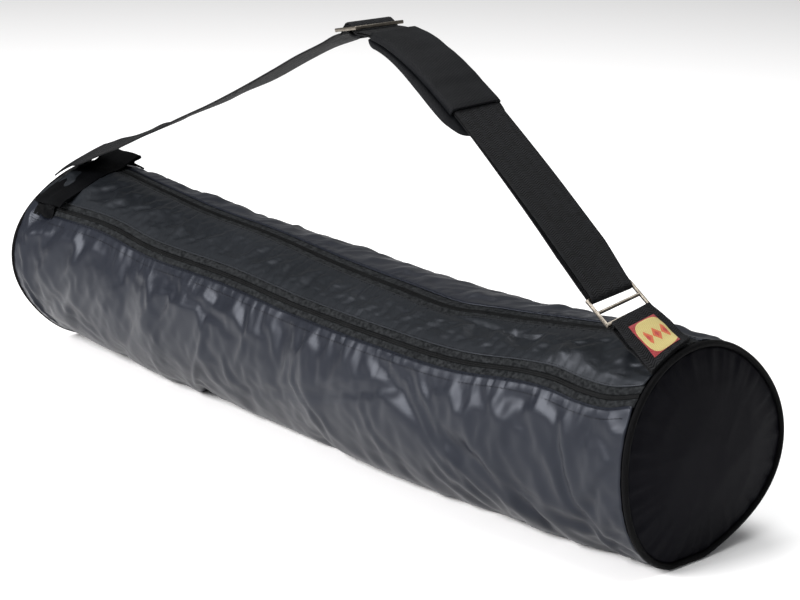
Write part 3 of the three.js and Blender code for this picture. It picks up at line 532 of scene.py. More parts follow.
def onTopPanel(x, angle):
    return (away(frontZip, x, angle) < 0) & (away(rearZip, x, angle) > 0)


def facetSum(s, t, rows):
    return sum(facets(s, t, *row[:4]) * row[4] for row in rows)


def foldHeight(x, angle):  # the larger folds, before the cloth settles
    s, t = x, np.radians(angle) * radius
    calm = 0.6 + 0.4 * np.clip(wander(s, 70, 3) + wander(t, 60, 7), -1, 1)
    body = crumple["bodyDepth"] * calm * (facetSum(s, t, bodyFacets) - crumple["bodyLevel"])
    top = crumple["topDepth"] * (facetSum(s, t, topFacets) - crumple["topLevel"])
    folds = np.where(onTopPanel(x, angle), top, body)
    return folds + creaseHeight(x, np.where(angle > 400, angle - 360, angle))


def gatherHeight(x, angle):  # small pleats where the cloth is sewn to the tapes and round the ends
    s, t = x, np.radians(angle) * radius
    toZip = zipDistance(x, angle)
    reach = np.abs(wander(s, 9, 10)) * gather["reach"] + gather["leastReach"]
    below = np.maximum(toZip - gather["from"], 0)
    fanned = s + gather["fan"] * below * wander(s, 30, 23)
    pleat = wander(fanned, gather["pitch"], 13) * gather["height"] * np.exp(-below / reach)
    patchy = 0.35 + 0.65 * np.clip(wander(s, 22, 26) + 0.4, 0, 1)
    pleat = pleat * patchy * np.where(onTopPanel(x, angle), gather["onTop"], 1)
    pleat = pleat * np.clip((toZip - 7.5) / 3, 0.15, 1)
    fromEnd = halfLength - np.abs(x)
    pucker = wander(t, gather["puckerPitch"], 20) * gather["puckerHeight"] * np.exp(-fromEnd / gather["puckerReach"])
    return (pleat + pucker) * np.clip(fromEnd / gather["rimFade"], 0, 1)


def clothHeight(x, angle):  # how far the cloth stands off the plain tube beside the zips
    x, angle = np.broadcast_arrays(np.asarray(x, float), np.asarray(angle, float))
    seam = 0.12 + 0.88 * np.clip((zipDistance(x, angle) - 6) / 14, 0, 1)
    fade = np.clip((halfLength - np.abs(x)) / 14, 0, 1)
    return np.clip(foldHeight(x, angle) * seam * fade, -5.0, 4.5)


# the cloth tube: counts of faces before the subdivision, and sizes in mm
tube = {
    "alongCount": 165, "bodyCount": 74, "topCount": 22, "coilWidth": 3.4, "coilProud": 0.6, "tapeWidth": 6.0,
    "hemOver": 1.3, "hemLift": 0.9, "hemWidth": 9.0, "hemFade": 1.5, "uvLong": 0.69,
}
tapeStart = tube["coilWidth"] / 2 + bag["seamGap"]
tapeEnd = tapeStart + tube["tapeWidth"]
panelStart = tapeEnd + bag["seamGap"]
tubeHalf = halfLength - endClear


def hemLift(distance):  # a folded hem lies over the tape's edge
    return tube["hemLift"] * np.clip((tapeEnd + tube["hemWidth"] - distance) / tube["hemFade"], 0, 1)


# the front zip's left end: body cloth covers it up to coverTo, and past that, up to the recess's end, a black sheet of
# painted shade shows in the recess
zipEnd = {
    "coverTo": -331, "recessTo": -312, "coverTurn": -6.5, "recessTurn": 2.5, "ease": 4.0, "coverLift": 1.0,
    "coverAbove": 152, "coverFade": 10,
}


def zipEndTurn(x):  # how far the body cloth's hem leaves the front zip at its left end, degrees
    cover = np.clip((zipEnd["coverTo"] - x) / zipEnd["ease"] + 0.5, 0, 1)
    # share of x where the hem turns back over the recess that the black sheet of painted shade darkens
    shadeSheet = np.clip((zipEnd["recessTo"] - x) / zipEnd["ease"] + 0.5, 0, 1) - cover
    return cover * zipEnd["coverTurn"] + shadeSheet * zipEnd["recessTurn"]


# how the cloth settles, in mm, and Blender's Cloth settings for thin nylon that is a little too large
drape = {"frames": 34, "cap": 5.0, "pinReach": 9.5, "pinFade": 4, "rimWeight": 1.6, "matSink": 4.0, "wall": 0.72}
clothSettings = {
    "quality": 7, "mass": 0.05, "tension_stiffness": 12, "compression_stiffness": 12, "shear_stiffness": 6,
    "bending_stiffness": 0.02, "tension_damping": 6, "compression_damping": 6,
    "vertex_group_mass": "pinned", "pin_stiffness": 4, "shrink_min": -0.05, "shrink_max": -0.05,
}


def matCore():  # the rolled mat inside, which the cloth settles on; removed afterwards
    def carry(u, v):
        return bagPoint((2 * u - 1) * (tubeHalf + 1), 360 * (1 - v), -drape["matSink"])
    core = addSheet("mat_core", 90, 60, carry, (1, 1))
    core.modifiers.new("Collision", "COLLISION")
    core.collision.thickness_outer = 0.001
    core.collision.cloth_friction = 2.0
    return core


def settleCloth(piece, pin):  # loose cloth, sewn at its edges, buckles into folds
    start = vertexPlaces(piece)
    pinned = piece.vertex_groups.new(name="pinned")
    for i in np.nonzero(pin > 0)[0]:
        pinned.add([int(i)], float(pin[i]), "REPLACE")
    cloth = piece.modifiers.new("Cloth", "CLOTH")
    for key, value in clothSettings.items():
        setattr(cloth.settings, key, value)
    cloth.settings.effector_weights.gravity = 0.05
    cloth.collision_settings.distance_min = 0.0005
    cloth.point_cache.frame_start, cloth.point_cache.frame_end = 1, drape["frames"]
    for frameNumber in range(1, drape["frames"] + 1):
        bpy.context.scene.frame_set(frameNumber)
    bpy.context.view_layer.objects.active = piece
    bpy.ops.object.modifier_apply(modifier="Cloth")
    bpy.context.scene.frame_set(1)
    piece.vertex_groups.clear()
    moved = vertexPlaces(piece) - start
    far = np.linalg.norm(moved, axis=1)[:, None] * 1000
    placeVertices(piece, (start + moved * np.minimum(1, drape["cap"] / np.maximum(far, 1e-6))) * 1000)


def angleRound(places):  # the angle round the tube of points in mm
    along = np.clip(places[:, 0] / halfLength, -1, 1)
    y = (places[:, 1] - columnAt(sections, 1, along) * radius) / columnAt(sections, 3, along)
    z = (places[:, 2] - columnAt(sections, 2, along) * radius) / columnAt(sections, 4, along)
    return np.degrees(np.arctan2(z, y)) % 360


def panelCloth(name, acrossCount, fromAngle, toAngle, uvWide, wraps):
    def carry(u, v):
        x = (2 * u - 1) * tubeHalf
        angle = toAngle(x) + (fromAngle(x) - toAngle(x)) * v
        over = np.clip((zipEnd["coverAbove"] - angle) / zipEnd["coverFade"], 0, 1)
        raised = over * (zipEndTurn(x) < 0) * zipEnd["coverLift"]
        return bagPoint(x, angle, clothHeight(x, angle) + hemLift(zipDistance(x, angle)) + raised)
    piece = addSheet(name, tube["alongCount"], acrossCount, carry, (tube["uvLong"], uvWide))
    places = vertexPlaces(piece) * 1000
    fromEdge = np.minimum(zipDistance(places[:, 0], angleRound(places)) - edge,
                          (tubeHalf - np.abs(places[:, 0])) * drape["rimWeight"])
    settleCloth(piece, np.clip((drape["pinReach"] - fromEdge) / drape["pinFade"], 0, 1))
    applyModifier(piece, "SUBSURF", levels=1, render_levels=1)
    places = vertexPlaces(piece) * 1000
    angle = angleRound(places)
    wrapped = np.where((angle < 125) & wraps, angle + 360, angle)
    outwards = bagPoint(places[:, 0], angle, 1) - bagPoint(places[:, 0], angle, 0)
    outwards[:, 2] = np.sin(np.radians(angle))
    places += outwards * gatherHeight(places[:, 0], wrapped)[:, None]
    places[:, 2] = np.maximum(places[:, 2], 0.2)
    placeVertices(piece, places)
    solidify(piece, drape["wall"])
    return piece


edge = panelStart - tube["hemOver"]
core = matCore()
bodyPiece = panelCloth("body_cloth", tube["bodyCount"], lambda x: zipAngle(frontZip, x, edge) + zipEndTurn(x),
                       lambda x: zipAngle(rearZip, x, -edge) + 360, 0.33, True)
finishPiece(bodyPiece, materials["body"], ["body_panel"])
topPiece = panelCloth("top_cloth", tube["topCount"], lambda x: zipAngle(rearZip, x, edge),
                      lambda x: zipAngle(frontZip, x, -edge), 0.075, False)
finishPiece(topPiece, materials["top"], ["top_panel"])
bpy.data.objects.remove(core)
print("panels made:", len(bodyPiece.data.polygons), len(topPiece.data.polygons), "faces")


# zips
zipLook = {
    "toothPitch": 1.5, "stepsPerTooth": 4, "tapeRise": 0.25, "tapeSink": 0.1, "tapeUnder": 0.2, "tapeWall": 0.8,
    "coilRise": 1.15, "coilSink": 0.15, "coilWall": 0.6, "grooveDepth": 0.45, "grooveWidth": 0.09, "toothWave": 0.38,
}


def zipTape(name, zipRows, start, stop, node):
    def carry(u, v):
        x = (2 * u - 1) * tubeHalf
        crown = zipLook["tapeRise"] * np.sin(np.pi * v)
        angle = zipAngle(zipRows, x, start + (stop - start) * (1 - v))
        return bagPoint(x, angle, clothHeight(x, angle) + crown - zipLook["tapeSink"])
    piece = addSheet(name, 320, 6, carry, (tube["uvLong"], abs(stop - start) * 0.001))
    solidify(piece, zipLook["tapeWall"])
    return finishPiece(piece, materials["tape"], [node])


def zipCoil(name, zipRows, node):
    teeth = int(2 * tubeHalf / zipLook["toothPitch"])

    def carry(u, v):  # teeth from both sides, half a pitch apart, meet in a groove
        x = (2 * u - 1) * tubeHalf
        turn = 2 * np.pi * (u * teeth + 0.25 * np.sign(v - 0.5))
        arch = np.sqrt(np.clip(1 - (2 * v - 1) ** 2, 0, 1))
        groove = 1 - zipLook["grooveDepth"] * np.exp(-(((v - 0.5) / zipLook["grooveWidth"]) ** 2))
        tooth = 1 - zipLook["toothWave"] + zipLook["toothWave"] * np.cos(turn)
        lift = arch * groove * tooth * zipLook["coilRise"] * tube["coilProud"] - zipLook["coilSink"]
        angle = zipAngle(zipRows, x, (0.5 - v) * tube["coilWidth"])
        return bagPoint(x, angle, clothHeight(x, zipAngle(zipRows, x, 0)) + lift)
    piece = addSheet(name, teeth * zipLook["stepsPerTooth"], 10, carry, (tube["uvLong"], tube["coilWidth"] * 0.001))
    solidify(piece, zipLook["coilWall"])
    return finishPiece(piece, materials["coil"], [node])


for label, zipRows in (("front_zip", frontZip), ("rear_zip", rearZip)):
    tapeFrom = tapeStart - zipLook["tapeUnder"]
    zipTape(label + "_tape_low", zipRows, tapeFrom, tapeEnd, label + "_lower_tape")
    zipTape(label + "_tape_high", zipRows, -tapeEnd, -tapeFrom, label + "_upper_tape")
    zipCoil(label + "_teeth", zipRows, label + "_coil")
print("zips made")


# ends and piping
ends = {"rings": 34, "around": 180, "pipingAround": 200, "pipingSides": 12, "wall": 0.9, "tuck": 0.8,
        "puckerHeight": 0.8, "puckerPitch": 3.2, "puckerFrom": 0.55, "slowHeight": 0.9}
# share of the way out, share of the crown
endProfile = [(0.0, 1.0), (0.35, 0.93), (0.65, 0.72), (0.88, 0.36), (1.0, 0.0)]


def pipingPoint(end, angle):
    point = bagPoint(end * halfLength, angle, bag["pipingProud"] - bag["pipingRadius"])
    point[..., 2] = np.maximum(point[..., 2], bag["pipingRadius"])
    return point


def endCentre(end):
    row = sections[0] if end < 0 else sections[-1]
    return np.array([end * halfLength, row[1] * radius, row[2] * radius])


def addPiping(name, end, node):
    piece = addPrimitive(bpy.ops.mesh.primitive_torus_add, name, major_segments=ends["pipingAround"],
                         minor_segments=ends["pipingSides"], major_radius=radius, minor_radius=bag["pipingRadius"])
    ring = vertexPlaces(piece)
    middle = pipingPoint(end, np.degrees(np.arctan2(ring[:, 1], ring[:, 0])))
    outwards = unit(middle - endCentre(end))
    places = middle + outwards * (np.hypot(ring[:, 0], ring[:, 1]) - radius)[:, None]
    places[:, 0] += ring[:, 2]
    placeVertices(piece, places)
    return finishPiece(piece, materials["piping"], [node])


def addEnd(name, end, node):
    piece = addPrimitive(bpy.ops.mesh.primitive_circle_add, name, vertices=ends["around"], radius=1, fill_type="NGON")
    bpy.ops.object.mode_set(mode="EDIT")
    for ring in range(ends["rings"]):
        bpy.ops.mesh.inset(thickness=0.98 / ends["rings"])
    bpy.ops.mesh.poke()
    bpy.ops.object.mode_set(mode="OBJECT")
    flat = vertexPlaces(piece)
    out = np.minimum(np.hypot(flat[:, 0], flat[:, 1]), 1)
    angle = np.degrees(np.arctan2(flat[:, 1], flat[:, 0]))
    centre = endCentre(end)
    edgePlace = pipingPoint(end, angle) - centre
    reach = np.linalg.norm(edgePlace, axis=1)
    places = centre + edgePlace * ((reach - endClear + ends["tuck"]) * out / reach)[:, None]
    rise = np.interp(out, [row[0] for row in endProfile], [row[1] for row in endProfile])
    rise = (rise + (1 - out**2)) / 2 * bag["endCrown"]
    nearRim = np.clip((out - ends["puckerFrom"]) / (1 - ends["puckerFrom"]), 0, 1) ** 2
    pucker = wander(np.radians(angle) * radius, ends["puckerPitch"], 30) * ends["puckerHeight"] * nearRim
    slow = ends["slowHeight"] * (facets(places[:, 1], places[:, 2], 46, 30, 40, 8) - 0.5)
    slow = slow * np.clip((1 - out) / 0.25, 0, 1)
    places[:, 0] = centre[0] + end * (rise + (pucker + slow) * np.clip((1 - out) / 0.04, 0, 1))
    placeVertices(piece, places)
    if np.sign(piece.data.polygons[0].normal.x) != end:
        editWhole(piece, bpy.ops.mesh.flip_normals)
    solidify(piece, ends["wall"])
    return finishPiece(piece, materials["end"], [node])


for side, end in (("left", -1), ("right", 1)):
    addPiping(side + "_rim_piping", end, side + "_piping")
    addEnd(side + "_end_cloth", end, side + "_end_panel")
print("ends made")


# the strap's own space
web = {
    "width": 38, "thick": 1.4, "gap": 0.4, "fitGap": 0.3, "seatLift": 0.9, "rise": 164,
    "leftRootAngle": 102, "rightRootAngle": 113.5, "rootInset": 1, "rootReach": 30,
    "pinch": 0.16, "pinchBefore": (46, 14), "pinchAfter": (30, 14),
}
buckleSize = {
    "length": 24, "sideClear": 0.3, "thick": 2.6, "sideBar": 2.2, "crossBar": 2.8, "barRadius": 1.2,
    "upperAt": 0.555, "lowerAt": 0.933,
}
padSize = {"length": 118, "width": 55, "thick": 7.5, "wall": 1.2, "fromBuckle": 20}
halfWeb = web["thick"] / 2
layerLift = halfWeb + web["gap"] / 2
# along, height over the bag's top in rises, sideways in radii, roll in degrees
archRows = [
    (-0.965, 0.043, -0.12, 19), (-0.925, 0.063, -0.125, 22), (-0.87, 0.106, -0.14, 21), (-0.81, 0.149, -0.147, 17),
    (-0.75, 0.195, -0.155, 17), (-0.69, 0.249, -0.164, 17), (-0.63, 0.293, -0.175, 12), (-0.57, 0.345, -0.186, 13),
    (-0.5, 0.406, -0.197, 10), (-0.43, 0.465, -0.209, 9), (-0.36, 0.528, -0.22, 10), (-0.253, 0.623, -0.236, 7),
    (-0.12, 0.755, -0.259, 7), (-0.036, 0.837, -0.273, 5), (0.047, 0.906, -0.284, 1), (0.1, 0.956, -0.295, 0),
    (0.17, 0.99, -0.31, 0), (0.24, 0.978, -0.305, 1), (0.33, 0.906, -0.305, 3), (0.45, 0.762, -0.325, 5),
    (0.6, 0.54, -0.345, 7), (0.75, 0.295, -0.36, 9), (0.86, 0.11, -0.384, 20), (0.961, 0, -0.383, 13),
]


def throughPoints(points, t):  # smooth line through points, t from 0 to 1
    points = np.asarray(points, float)
    held = np.vstack([2 * points[0] - points[1], points, 2 * points[-1] - points[-2]])
    place = np.clip(t, 0, 1) * (len(points) - 1)
    i = np.minimum(place.astype(int), len(points) - 2)
    w = (place - i)[:, None]
    p0, p1, p2, p3 = held[i], held[i + 1], held[i + 2], held[i + 3]
    d0, d1, d2 = [((b - a) ** 2).sum(1)[:, None] ** 0.25 for a, b in ((p0, p1), (p1, p2), (p2, p3))]
    t1 = ((p1 - p0) / d0 - (p2 - p0) / (d0 + d1) + (p2 - p1) / d1) * d1
    t2 = ((p2 - p1) / d1 - (p3 - p1) / (d1 + d2) + (p3 - p2) / d2) * d1
    return p1 + t1 * w + (3 * p2 - 3 * p1 - 2 * t1 - t2) * w**2 + (2 * p1 - 2 * p2 + t1 + t2) * w**3


def evenly(points, step):  # the same line in even steps
    dense = throughPoints(points, np.linspace(0, 1, 6000))
    run = runOf(dense)
    count = max(2, int(round(run[-1] / step)))
    return valuesAt(np.linspace(0, run[-1], count + 1), run, dense), run[-1]


leftRoot = bagPoint(-halfLength + web["rootInset"], web["leftRootAngle"], web["seatLift"] + bag["cloth"])
rightRoot = bagPoint(halfLength - web["rootInset"], web["rightRootAngle"], web["seatLift"] + 2 * layerLift)
archPoints = [leftRoot] + [np.array([a * halfLength, y * radius, 2 * radius + h * web["rise"]])
                           for a, h, y, roll in archRows] + [rightRoot]
rolls = [web["leftRootAngle"] - 90] + [row[3] for row in archRows] + [web["rightRootAngle"] - 90]
rollRows = [(point[0], roll) for point, roll in zip(archPoints, rolls)]
archShares = np.linspace(0, 1, 1201)
archDense = throughPoints(archPoints, archShares)
archRun = runOf(archDense)
archLength = archRun[-1]


def pinchAt(s):  # how much narrower the webbing is where the lower buckle gathers it
    off = s - buckleSize["lowerAt"] * archLength
    before = (web["pinchBefore"][0] + off) / (web["pinchBefore"][0] - web["pinchBefore"][1])
    after = (web["pinchAfter"][0] - off) / (web["pinchAfter"][0] - web["pinchAfter"][1])
    return 1 - web["pinch"] * np.clip(np.where(off < 0, before, after), 0, 1)


def strapPoint(s, v, n):
    s, v, n = [np.atleast_1d(a).astype(float) for a in np.broadcast_arrays(s, v, n)]
    v = v * pinchAt(s)
    share = np.clip(s / archLength, 0, 1)
    t = np.interp(share * archLength, archRun, archShares)
    point = throughPoints(archPoints, t)
    run = unit(throughPoints(archPoints, np.minimum(t + 1e-4, 1)) - throughPoints(archPoints, np.maximum(t - 1e-4, 0)))
    roll = np.radians(columnAt(rollRows, 1, point[:, 0]))
    across = np.stack([np.zeros_like(roll), np.cos(roll), np.sin(roll)], 1)
    squared = np.minimum(share, 1 - share) * archLength / web["rootReach"]
    across = unit(across - run * ((across * run).sum(1) * np.minimum(squared, 1))[:, None])
    outwards = unit(np.cross(run, across))
    point = point + run * (s - share * archLength)[:, None]
    wrapped = np.maximum(0, 1 - squared) * v * v / (2 * radius)
    return point + across * v[:, None] + outwards * (n - wrapped)[:, None]


upperBuckleS = buckleSize["upperAt"] * archLength
lowerBuckleS = buckleSize["lowerAt"] * archLength
halfBuckle = buckleSize["length"] / 2
crossBarS = halfBuckle - buckleSize["crossBar"] / 2
underBar = buckleSize["thick"] / 2 + web["fitGap"] + halfWeb
turnRadius = math.hypot(buckleSize["crossBar"], buckleSize["thick"]) / 2 + web["fitGap"] + halfWeb
loopRadius = buckleSize["barRadius"] + web["fitGap"] + halfWeb
overRadius = loopRadius + web["thick"] + web["fitGap"]
upperBuckleN = layerLift + underBar
padStations = [0, 0.04, 0.1, 0.18, 0.26, 0.34, 0.42, 0.5, 0.58, 0.66, 0.75, 0.84, 0.92, 0.97, 1]
padFromS = upperBuckleS + padSize["fromBuckle"]


def stretch(fromS, fromN, toS, toN, step):
    count = max(1, round(abs(toS - fromS) / step))
    return [(fromS + (toS - fromS) * i / count, fromN + (toN - fromN) * i / count) for i in range(count + 1)]


def arc(centreS, centreN, size, fromAngle, toAngle, count):
    turns = np.radians(np.linspace(fromAngle, toAngle, count + 1))
    return [(centreS + size * math.cos(a), centreN + size * math.sin(a)) for a in turns]


def slabSection(width, thick, across=14, corner=3):
    # outline of flat webbing with soft edges, counted so that its faces look outwards
    r = thick / 2 * 0.98
    flat = width / 2 - r
    top = [(v, thick / 2) for v in np.linspace(-flat, flat, across + 1)]
    side = [(flat + r * math.sin(a), thick / 2 * math.cos(a)) for a in np.linspace(0, math.pi, corner + 2)[1:-1]]
    half = np.array(top + side)
    return np.vstack([half, -half, half[:1]])


def addWebbing(name, route, step, width, thick):
    line, length = evenly(route, step)
    run = unit(np.gradient(line, axis=0))
    left = np.stack([-run[:, 1], run[:, 0]], 1)
    outline = slabSection(width, thick)
    last = len(line) - 1

    def carry(u, v):
        i = np.round(u * last).astype(int)
        k = np.round((1 - v) * (len(outline) - 1)).astype(int)
        place = line[i] + left[i] * outline[k, 1][:, None]
        return strapPoint(place[:, 0], outline[k, 0], place[:, 1])
    piece = addSheet(name, last, len(outline) - 1, carry, (length * 0.001, (width + thick) * 2 * 0.001))
    closeSeam(piece)
    return piece, length


def strapRoute():
    slotEdge = halfBuckle - buckleSize["crossBar"]
    dive = slotEdge - halfWeb + 0.2
    topS = overRadius + halfWeb + 1
    turnS = lowerBuckleS - crossBarS
    padEnd = padFromS + padSize["length"]
    inPad = [padFromS + place * padSize["length"] for place in padStations]

    def local(t, m):  # from the upper buckle's middle
        return (upperBuckleS + t, upperBuckleN + m)
    return [
        *stretch(0, layerLift, upperBuckleS - 17, layerLift, 20),
        local(-dive - 2.6, -underBar), local(-dive, -underBar), local(-topS, 0.3), local(-topS + 1, 1.5),
        *arc(upperBuckleS, upperBuckleN, overRadius + 0.1, 145, 35, 4),
        local(topS - 1, 1.5), local(topS, 0.3), local(dive, -underBar), local(dive + 2.6, -underBar),
        *[(s, layerLift) for s in inPad],
        *stretch(padEnd + 10, layerLift + 0.1, turnS - 6, turnRadius, 20),
        *arc(turnS, 0, turnRadius, 90, -90, 6),
        *stretch(turnS - 6, -turnRadius, padEnd + 10, -layerLift - 0.1, 20),
        *[(s, -layerLift) for s in reversed(inPad)],
        local(dive - 0.4, -underBar - 2 * layerLift), local(dive - 2.3, -underBar - 0.5),
        local(topS - 1.7, -0.9), local(loopRadius + 0.7, 0.2),
        *arc(upperBuckleS, upperBuckleN, loopRadius, 60, 250, 5),
        local(0.6, -loopRadius - 1.4), local(2.6, -loopRadius - 2.9),
        local(6, -underBar - 4 * layerLift), local(12, -underBar - 4 * layerLift),
    ]


strapPiece, strapRun = addWebbing("strap_webbing", strapRoute(), 1.6, web["width"], web["thick"])
finishPiece(strapPiece, materials["webbing"], ["shoulder_strap"], 40)
print("strap made, webbing run", round(strapRun), "mm, arch", round(archLength), "mm")

# tab with its patch
patchSize = {"width": 23.5, "aside": 0.5, "thick": 0.7, "first": 1, "last": 8, "stations": 9, "lead": 6}
tabLoopS = lowerBuckleS + crossBarS
tabFromS = tabLoopS + patchSize["lead"]


def tabPlace(station, side):
    share = station / patchSize["stations"]
    s = tabFromS + (archLength - tabFromS) * share
    return (s, side * (turnRadius + (layerLift - turnRadius) * share))


tabFace = [tabPlace(i, 1) for i in range(patchSize["stations"] + 1)]
tabRoute = [(s, -n) for s, n in reversed(tabFace)] + arc(tabLoopS, 0, turnRadius, 270, 450, 6) + tabFace
tabPiece, tabRun = addWebbing("tab_webbing", tabRoute, 1.5, web["width"], web["thick"])
finishPiece(tabPiece, materials["webbing"], ["right_tab"], 40)


# sizes in metres on the patch's UV map; the field is an oval of the given power
patchLook = {
    "middle": (0.014, 0.013), "fieldHalf": (0.0132, 0.0122), "power": 3.2,
    "lozengeHalf": (0.0062, 0.0036), "lozengesTo": 0.0085, "innerShare": 0.95, "coreShare": 0.42,
    "red": (0.25, 0.008, 0.012, 1), "cream": (0.46, 0.38, 0.13, 1),
    "orange": (0.46, 0.085, 0.02, 1), "deep": (0.34, 0.018, 0.012, 1),
}


def patchMaterial():  # a cream field on a red ground, with three lozenges across it
    material, tree, shader = startMaterial("wovenPatch", Roughness=0.6, Specular_IOR_Level=0.3, Sheen_Weight=0.15)
    uv = uvParts(tree)

    def compute(operation, *values):
        return mathNode(tree, operation, *values)
    fromMiddle = [compute("SUBTRACT", uv[k], patchLook["middle"][k]) for k in (0, 1)]
    along, across = [compute("ABSOLUTE", value) for value in fromMiddle]
    powers = [compute("POWER", compute("DIVIDE", value, half), patchLook["power"])
              for value, half in zip((along, across), patchLook["fieldHalf"])]
    field = compute("LESS_THAN", compute("ADD", *powers), 1.0)
    longHalf, wideHalf = patchLook["lozengeHalf"]
    step = compute("PINGPONG", fromMiddle[1], wideHalf)
    lozenge = compute("ADD", compute("DIVIDE", along, longHalf), compute("DIVIDE", step, wideHalf))
    inReach = compute("LESS_THAN", across, patchLook["lozengesTo"])
    inner, core = [compute("MULTIPLY", compute("LESS_THAN", lozenge, patchLook[key]), inReach)
                   for key in ("innerShare", "coreShare")]
    colour = mixNode(tree, field, patchLook["red"], patchLook["cream"])
    colour = mixNode(tree, inner, colour, patchLook["orange"])
    colour = mixNode(tree, core, colour, patchLook["deep"])
    weave = placeGroup(tree, weaveGroup, Threads=1500.0, Rib_Ratio=0.6)
    grey = addNode(tree, "ShaderNodeCombineColor", {k: weave["Thread"] for k in range(3)})
    shaded = mixNode(tree, 0.45, colour, grey.outputs[0], blend_type="MULTIPLY")
    tree.links.new(shaded, shader.inputs["Base Color"])
    raised = compute("ADD", compute("MULTIPLY", inner, 0.8), weave["Height"])
    bumpInto(tree, shader, raised, 0.00025, 0.8)
    return material


def addPatch():
    def carry(u, v):
        station = patchSize["first"] + u * (patchSize["last"] - patchSize["first"])
        s, n = tabPlace(station, 1)
        edgeIn = np.minimum(np.minimum(u, 1 - u) / 0.07, np.minimum(v, 1 - v) / 0.07)
        crown = patchSize["thick"] * (0.5 + 0.5 * np.clip(edgeIn, 0, 1))
        ripple = 0.12 * np.sin(u * 17 + 1) * np.clip(1 - edgeIn / 3, 0, 1)
        return strapPoint(s, (v - 0.5) * patchSize["width"] + patchSize["aside"],
                          n + halfWeb + web["fitGap"] * 0.3 + crown + ripple)
    length = (tabPlace(patchSize["last"], 1)[0] - tabPlace(patchSize["first"], 1)[0]) * 0.001
    piece = addSheet("patch_woven", 56, 52, carry, (length, patchSize["width"] * 0.001))
    solidify(piece, 0.6)
    return finishPiece(piece, patchMaterial(), ["tab_patch"], 40)


addPatch()
print("tab and patch made, tab run", round(tabRun), "mm")


# buckles
def addBuckle(name, middleS, middleN, node):
    pinch = pinchAt(middleS)
    inner = (web["width"] / 2 + buckleSize["sideClear"]) * pinch
    sideBar = buckleSize["sideBar"] * pinch
    piece = addPrimitive(bpy.ops.mesh.primitive_plane_add, name, size=2)
    bpy.ops.object.mode_set(mode="EDIT")
    bpy.ops.mesh.select_all(action="SELECT")
    bpy.ops.transform.resize(value=(halfBuckle, inner + sideBar, 1))
    bpy.ops.mesh.inset(thickness=sideBar)
    bpy.ops.transform.resize(value=((halfBuckle - buckleSize["crossBar"]) / (halfBuckle - sideBar), 1, 1))
    bpy.ops.mesh.delete(type="FACE")
    bpy.ops.object.mode_set(mode="OBJECT")
    applyModifier(piece, "SOLIDIFY", thickness=buckleSize["thick"], offset=0)
    applyModifier(piece, "BEVEL", width=0.55, segments=3, limit_method="ANGLE")
    bar = addPrimitive(bpy.ops.mesh.primitive_cylinder_add, name + "_bar", vertices=24,
                       radius=buckleSize["barRadius"], depth=2 * inner + 1.6, rotation=(math.pi / 2, 0, 0))
    bpy.ops.object.transform_apply(location=True, rotation=True, scale=True)
    bar.select_set(True)
    piece.select_set(True)
    bpy.context.view_layer.objects.active = piece
    bpy.ops.object.join()
    local = vertexPlaces(piece)
    corners = strapPoint([middleS - halfBuckle, middleS + halfBuckle, middleS], [0, 0, 10], [middleN] * 3)
    along = unit(corners[1] - corners[0])
    centre = strapPoint(middleS, 0, middleN)[0]
    across = corners[2] - centre
    across = unit(across - along * (across @ along))
    out = np.cross(along, across)
    placeVertices(piece, centre + local[:, :1] * along + local[:, 1:2] * across + local[:, 2:] * out)
    return finishPiece(piece, materials["metal"], [node], 35)


addBuckle("buckle_upper_metal", upperBuckleS, upperBuckleN, "upper_buckle")
addBuckle("buckle_lower_metal", lowerBuckleS, 0, "lower_buckle")
print("buckles made")

# pad and its sleeve
# along, front and back shares of the pad's width
padOutline = [
    (0.0, 0.34, 0.38), (0.04, 0.37, 0.44), (0.1, 0.38, 0.49), (0.3, 0.41, 0.53), (0.55, 0.46, 0.52),
    (0.82, 0.47, 0.48), (0.92, 0.4, 0.42), (0.97, 0.32, 0.33), (1.0, 0.2, 0.2),
]
padTop = -(layerLift + halfWeb + web["fitGap"])


def addPad():
    def carry(u, v):  # v runs round the pad's section: the top first, then the underside
        turn = 2 * np.pi * v
        across = np.cos(turn)
        half = np.where(across < 0, columnAt(padOutline, 1, u), columnAt(padOutline, 2, u)) * padSize["width"]
        shape = np.sign(across) * np.abs(across) ** 0.8
        endRound = np.sqrt(np.clip(1 - (1 - np.clip(np.minimum(u, 1 - u) / 0.07, 0, 1)) ** 2, 0.02, 1))
        thick = padSize["thick"] * (0.25 + 0.75 * endRound)
        up = np.abs(np.sin(turn)) ** 0.55 * np.sign(np.sin(turn))
        n = padTop - thick * (0.5 - 0.5 * up)
        return strapPoint(padFromS + u * padSize["length"], shape * half, n)
    piece = addSheet("pad_foam", 96, 56, carry, (0.118, 0.12))
    closeSeam(piece)
    finishPiece(piece, materials["pad"], ["pad_body"])


# across in half widths, height in shares of the sleeve's
sleeveSide = [(-1.0, 0.0), (-1.0, 0.55), (-0.985, 0.85), (-0.95, 0.98), (-0.8, 1.0), (-0.4, 1.02)]
sleeveArch = np.array(sleeveSide + [(0.0, 1.03)] + [(-across, height) for across, height in reversed(sleeveSide)])


def addSleeve():
    first, last = padStations[1], padStations[-4]
    innerHalf = web["width"] / 2 + 3 * web["fitGap"]
    innerTop = layerLift + halfWeb + web["fitGap"]
    foot = padTop + bag["seamGap"]

    def carry(u, v):
        place = first + (last - first) * u
        across, height = valuesAt(v * (len(sleeveArch) - 1), range(len(sleeveArch)), sleeveArch).T
        half, top = innerHalf + padSize["wall"], innerTop + padSize["wall"]
        ripple = 0.25 * wander(place * padSize["length"], 6, 40) * height
        return strapPoint(padFromS + place * padSize["length"], across * half, foot + (top + ripple - foot) * height)
    piece = addSheet("pad_cover", 80, 48, carry, (0.095, 0.05))
    solidify(piece, padSize["wall"])
    finishPiece(piece, materials["pad"], ["pad_sleeve"])


addPad()
addSleeve()
print("pad made")

# the band over the zips' left ends
band = {"width": 38, "inset": 9, "wall": 1.2, "flatAngle": 117, "rimEase": 0.6}
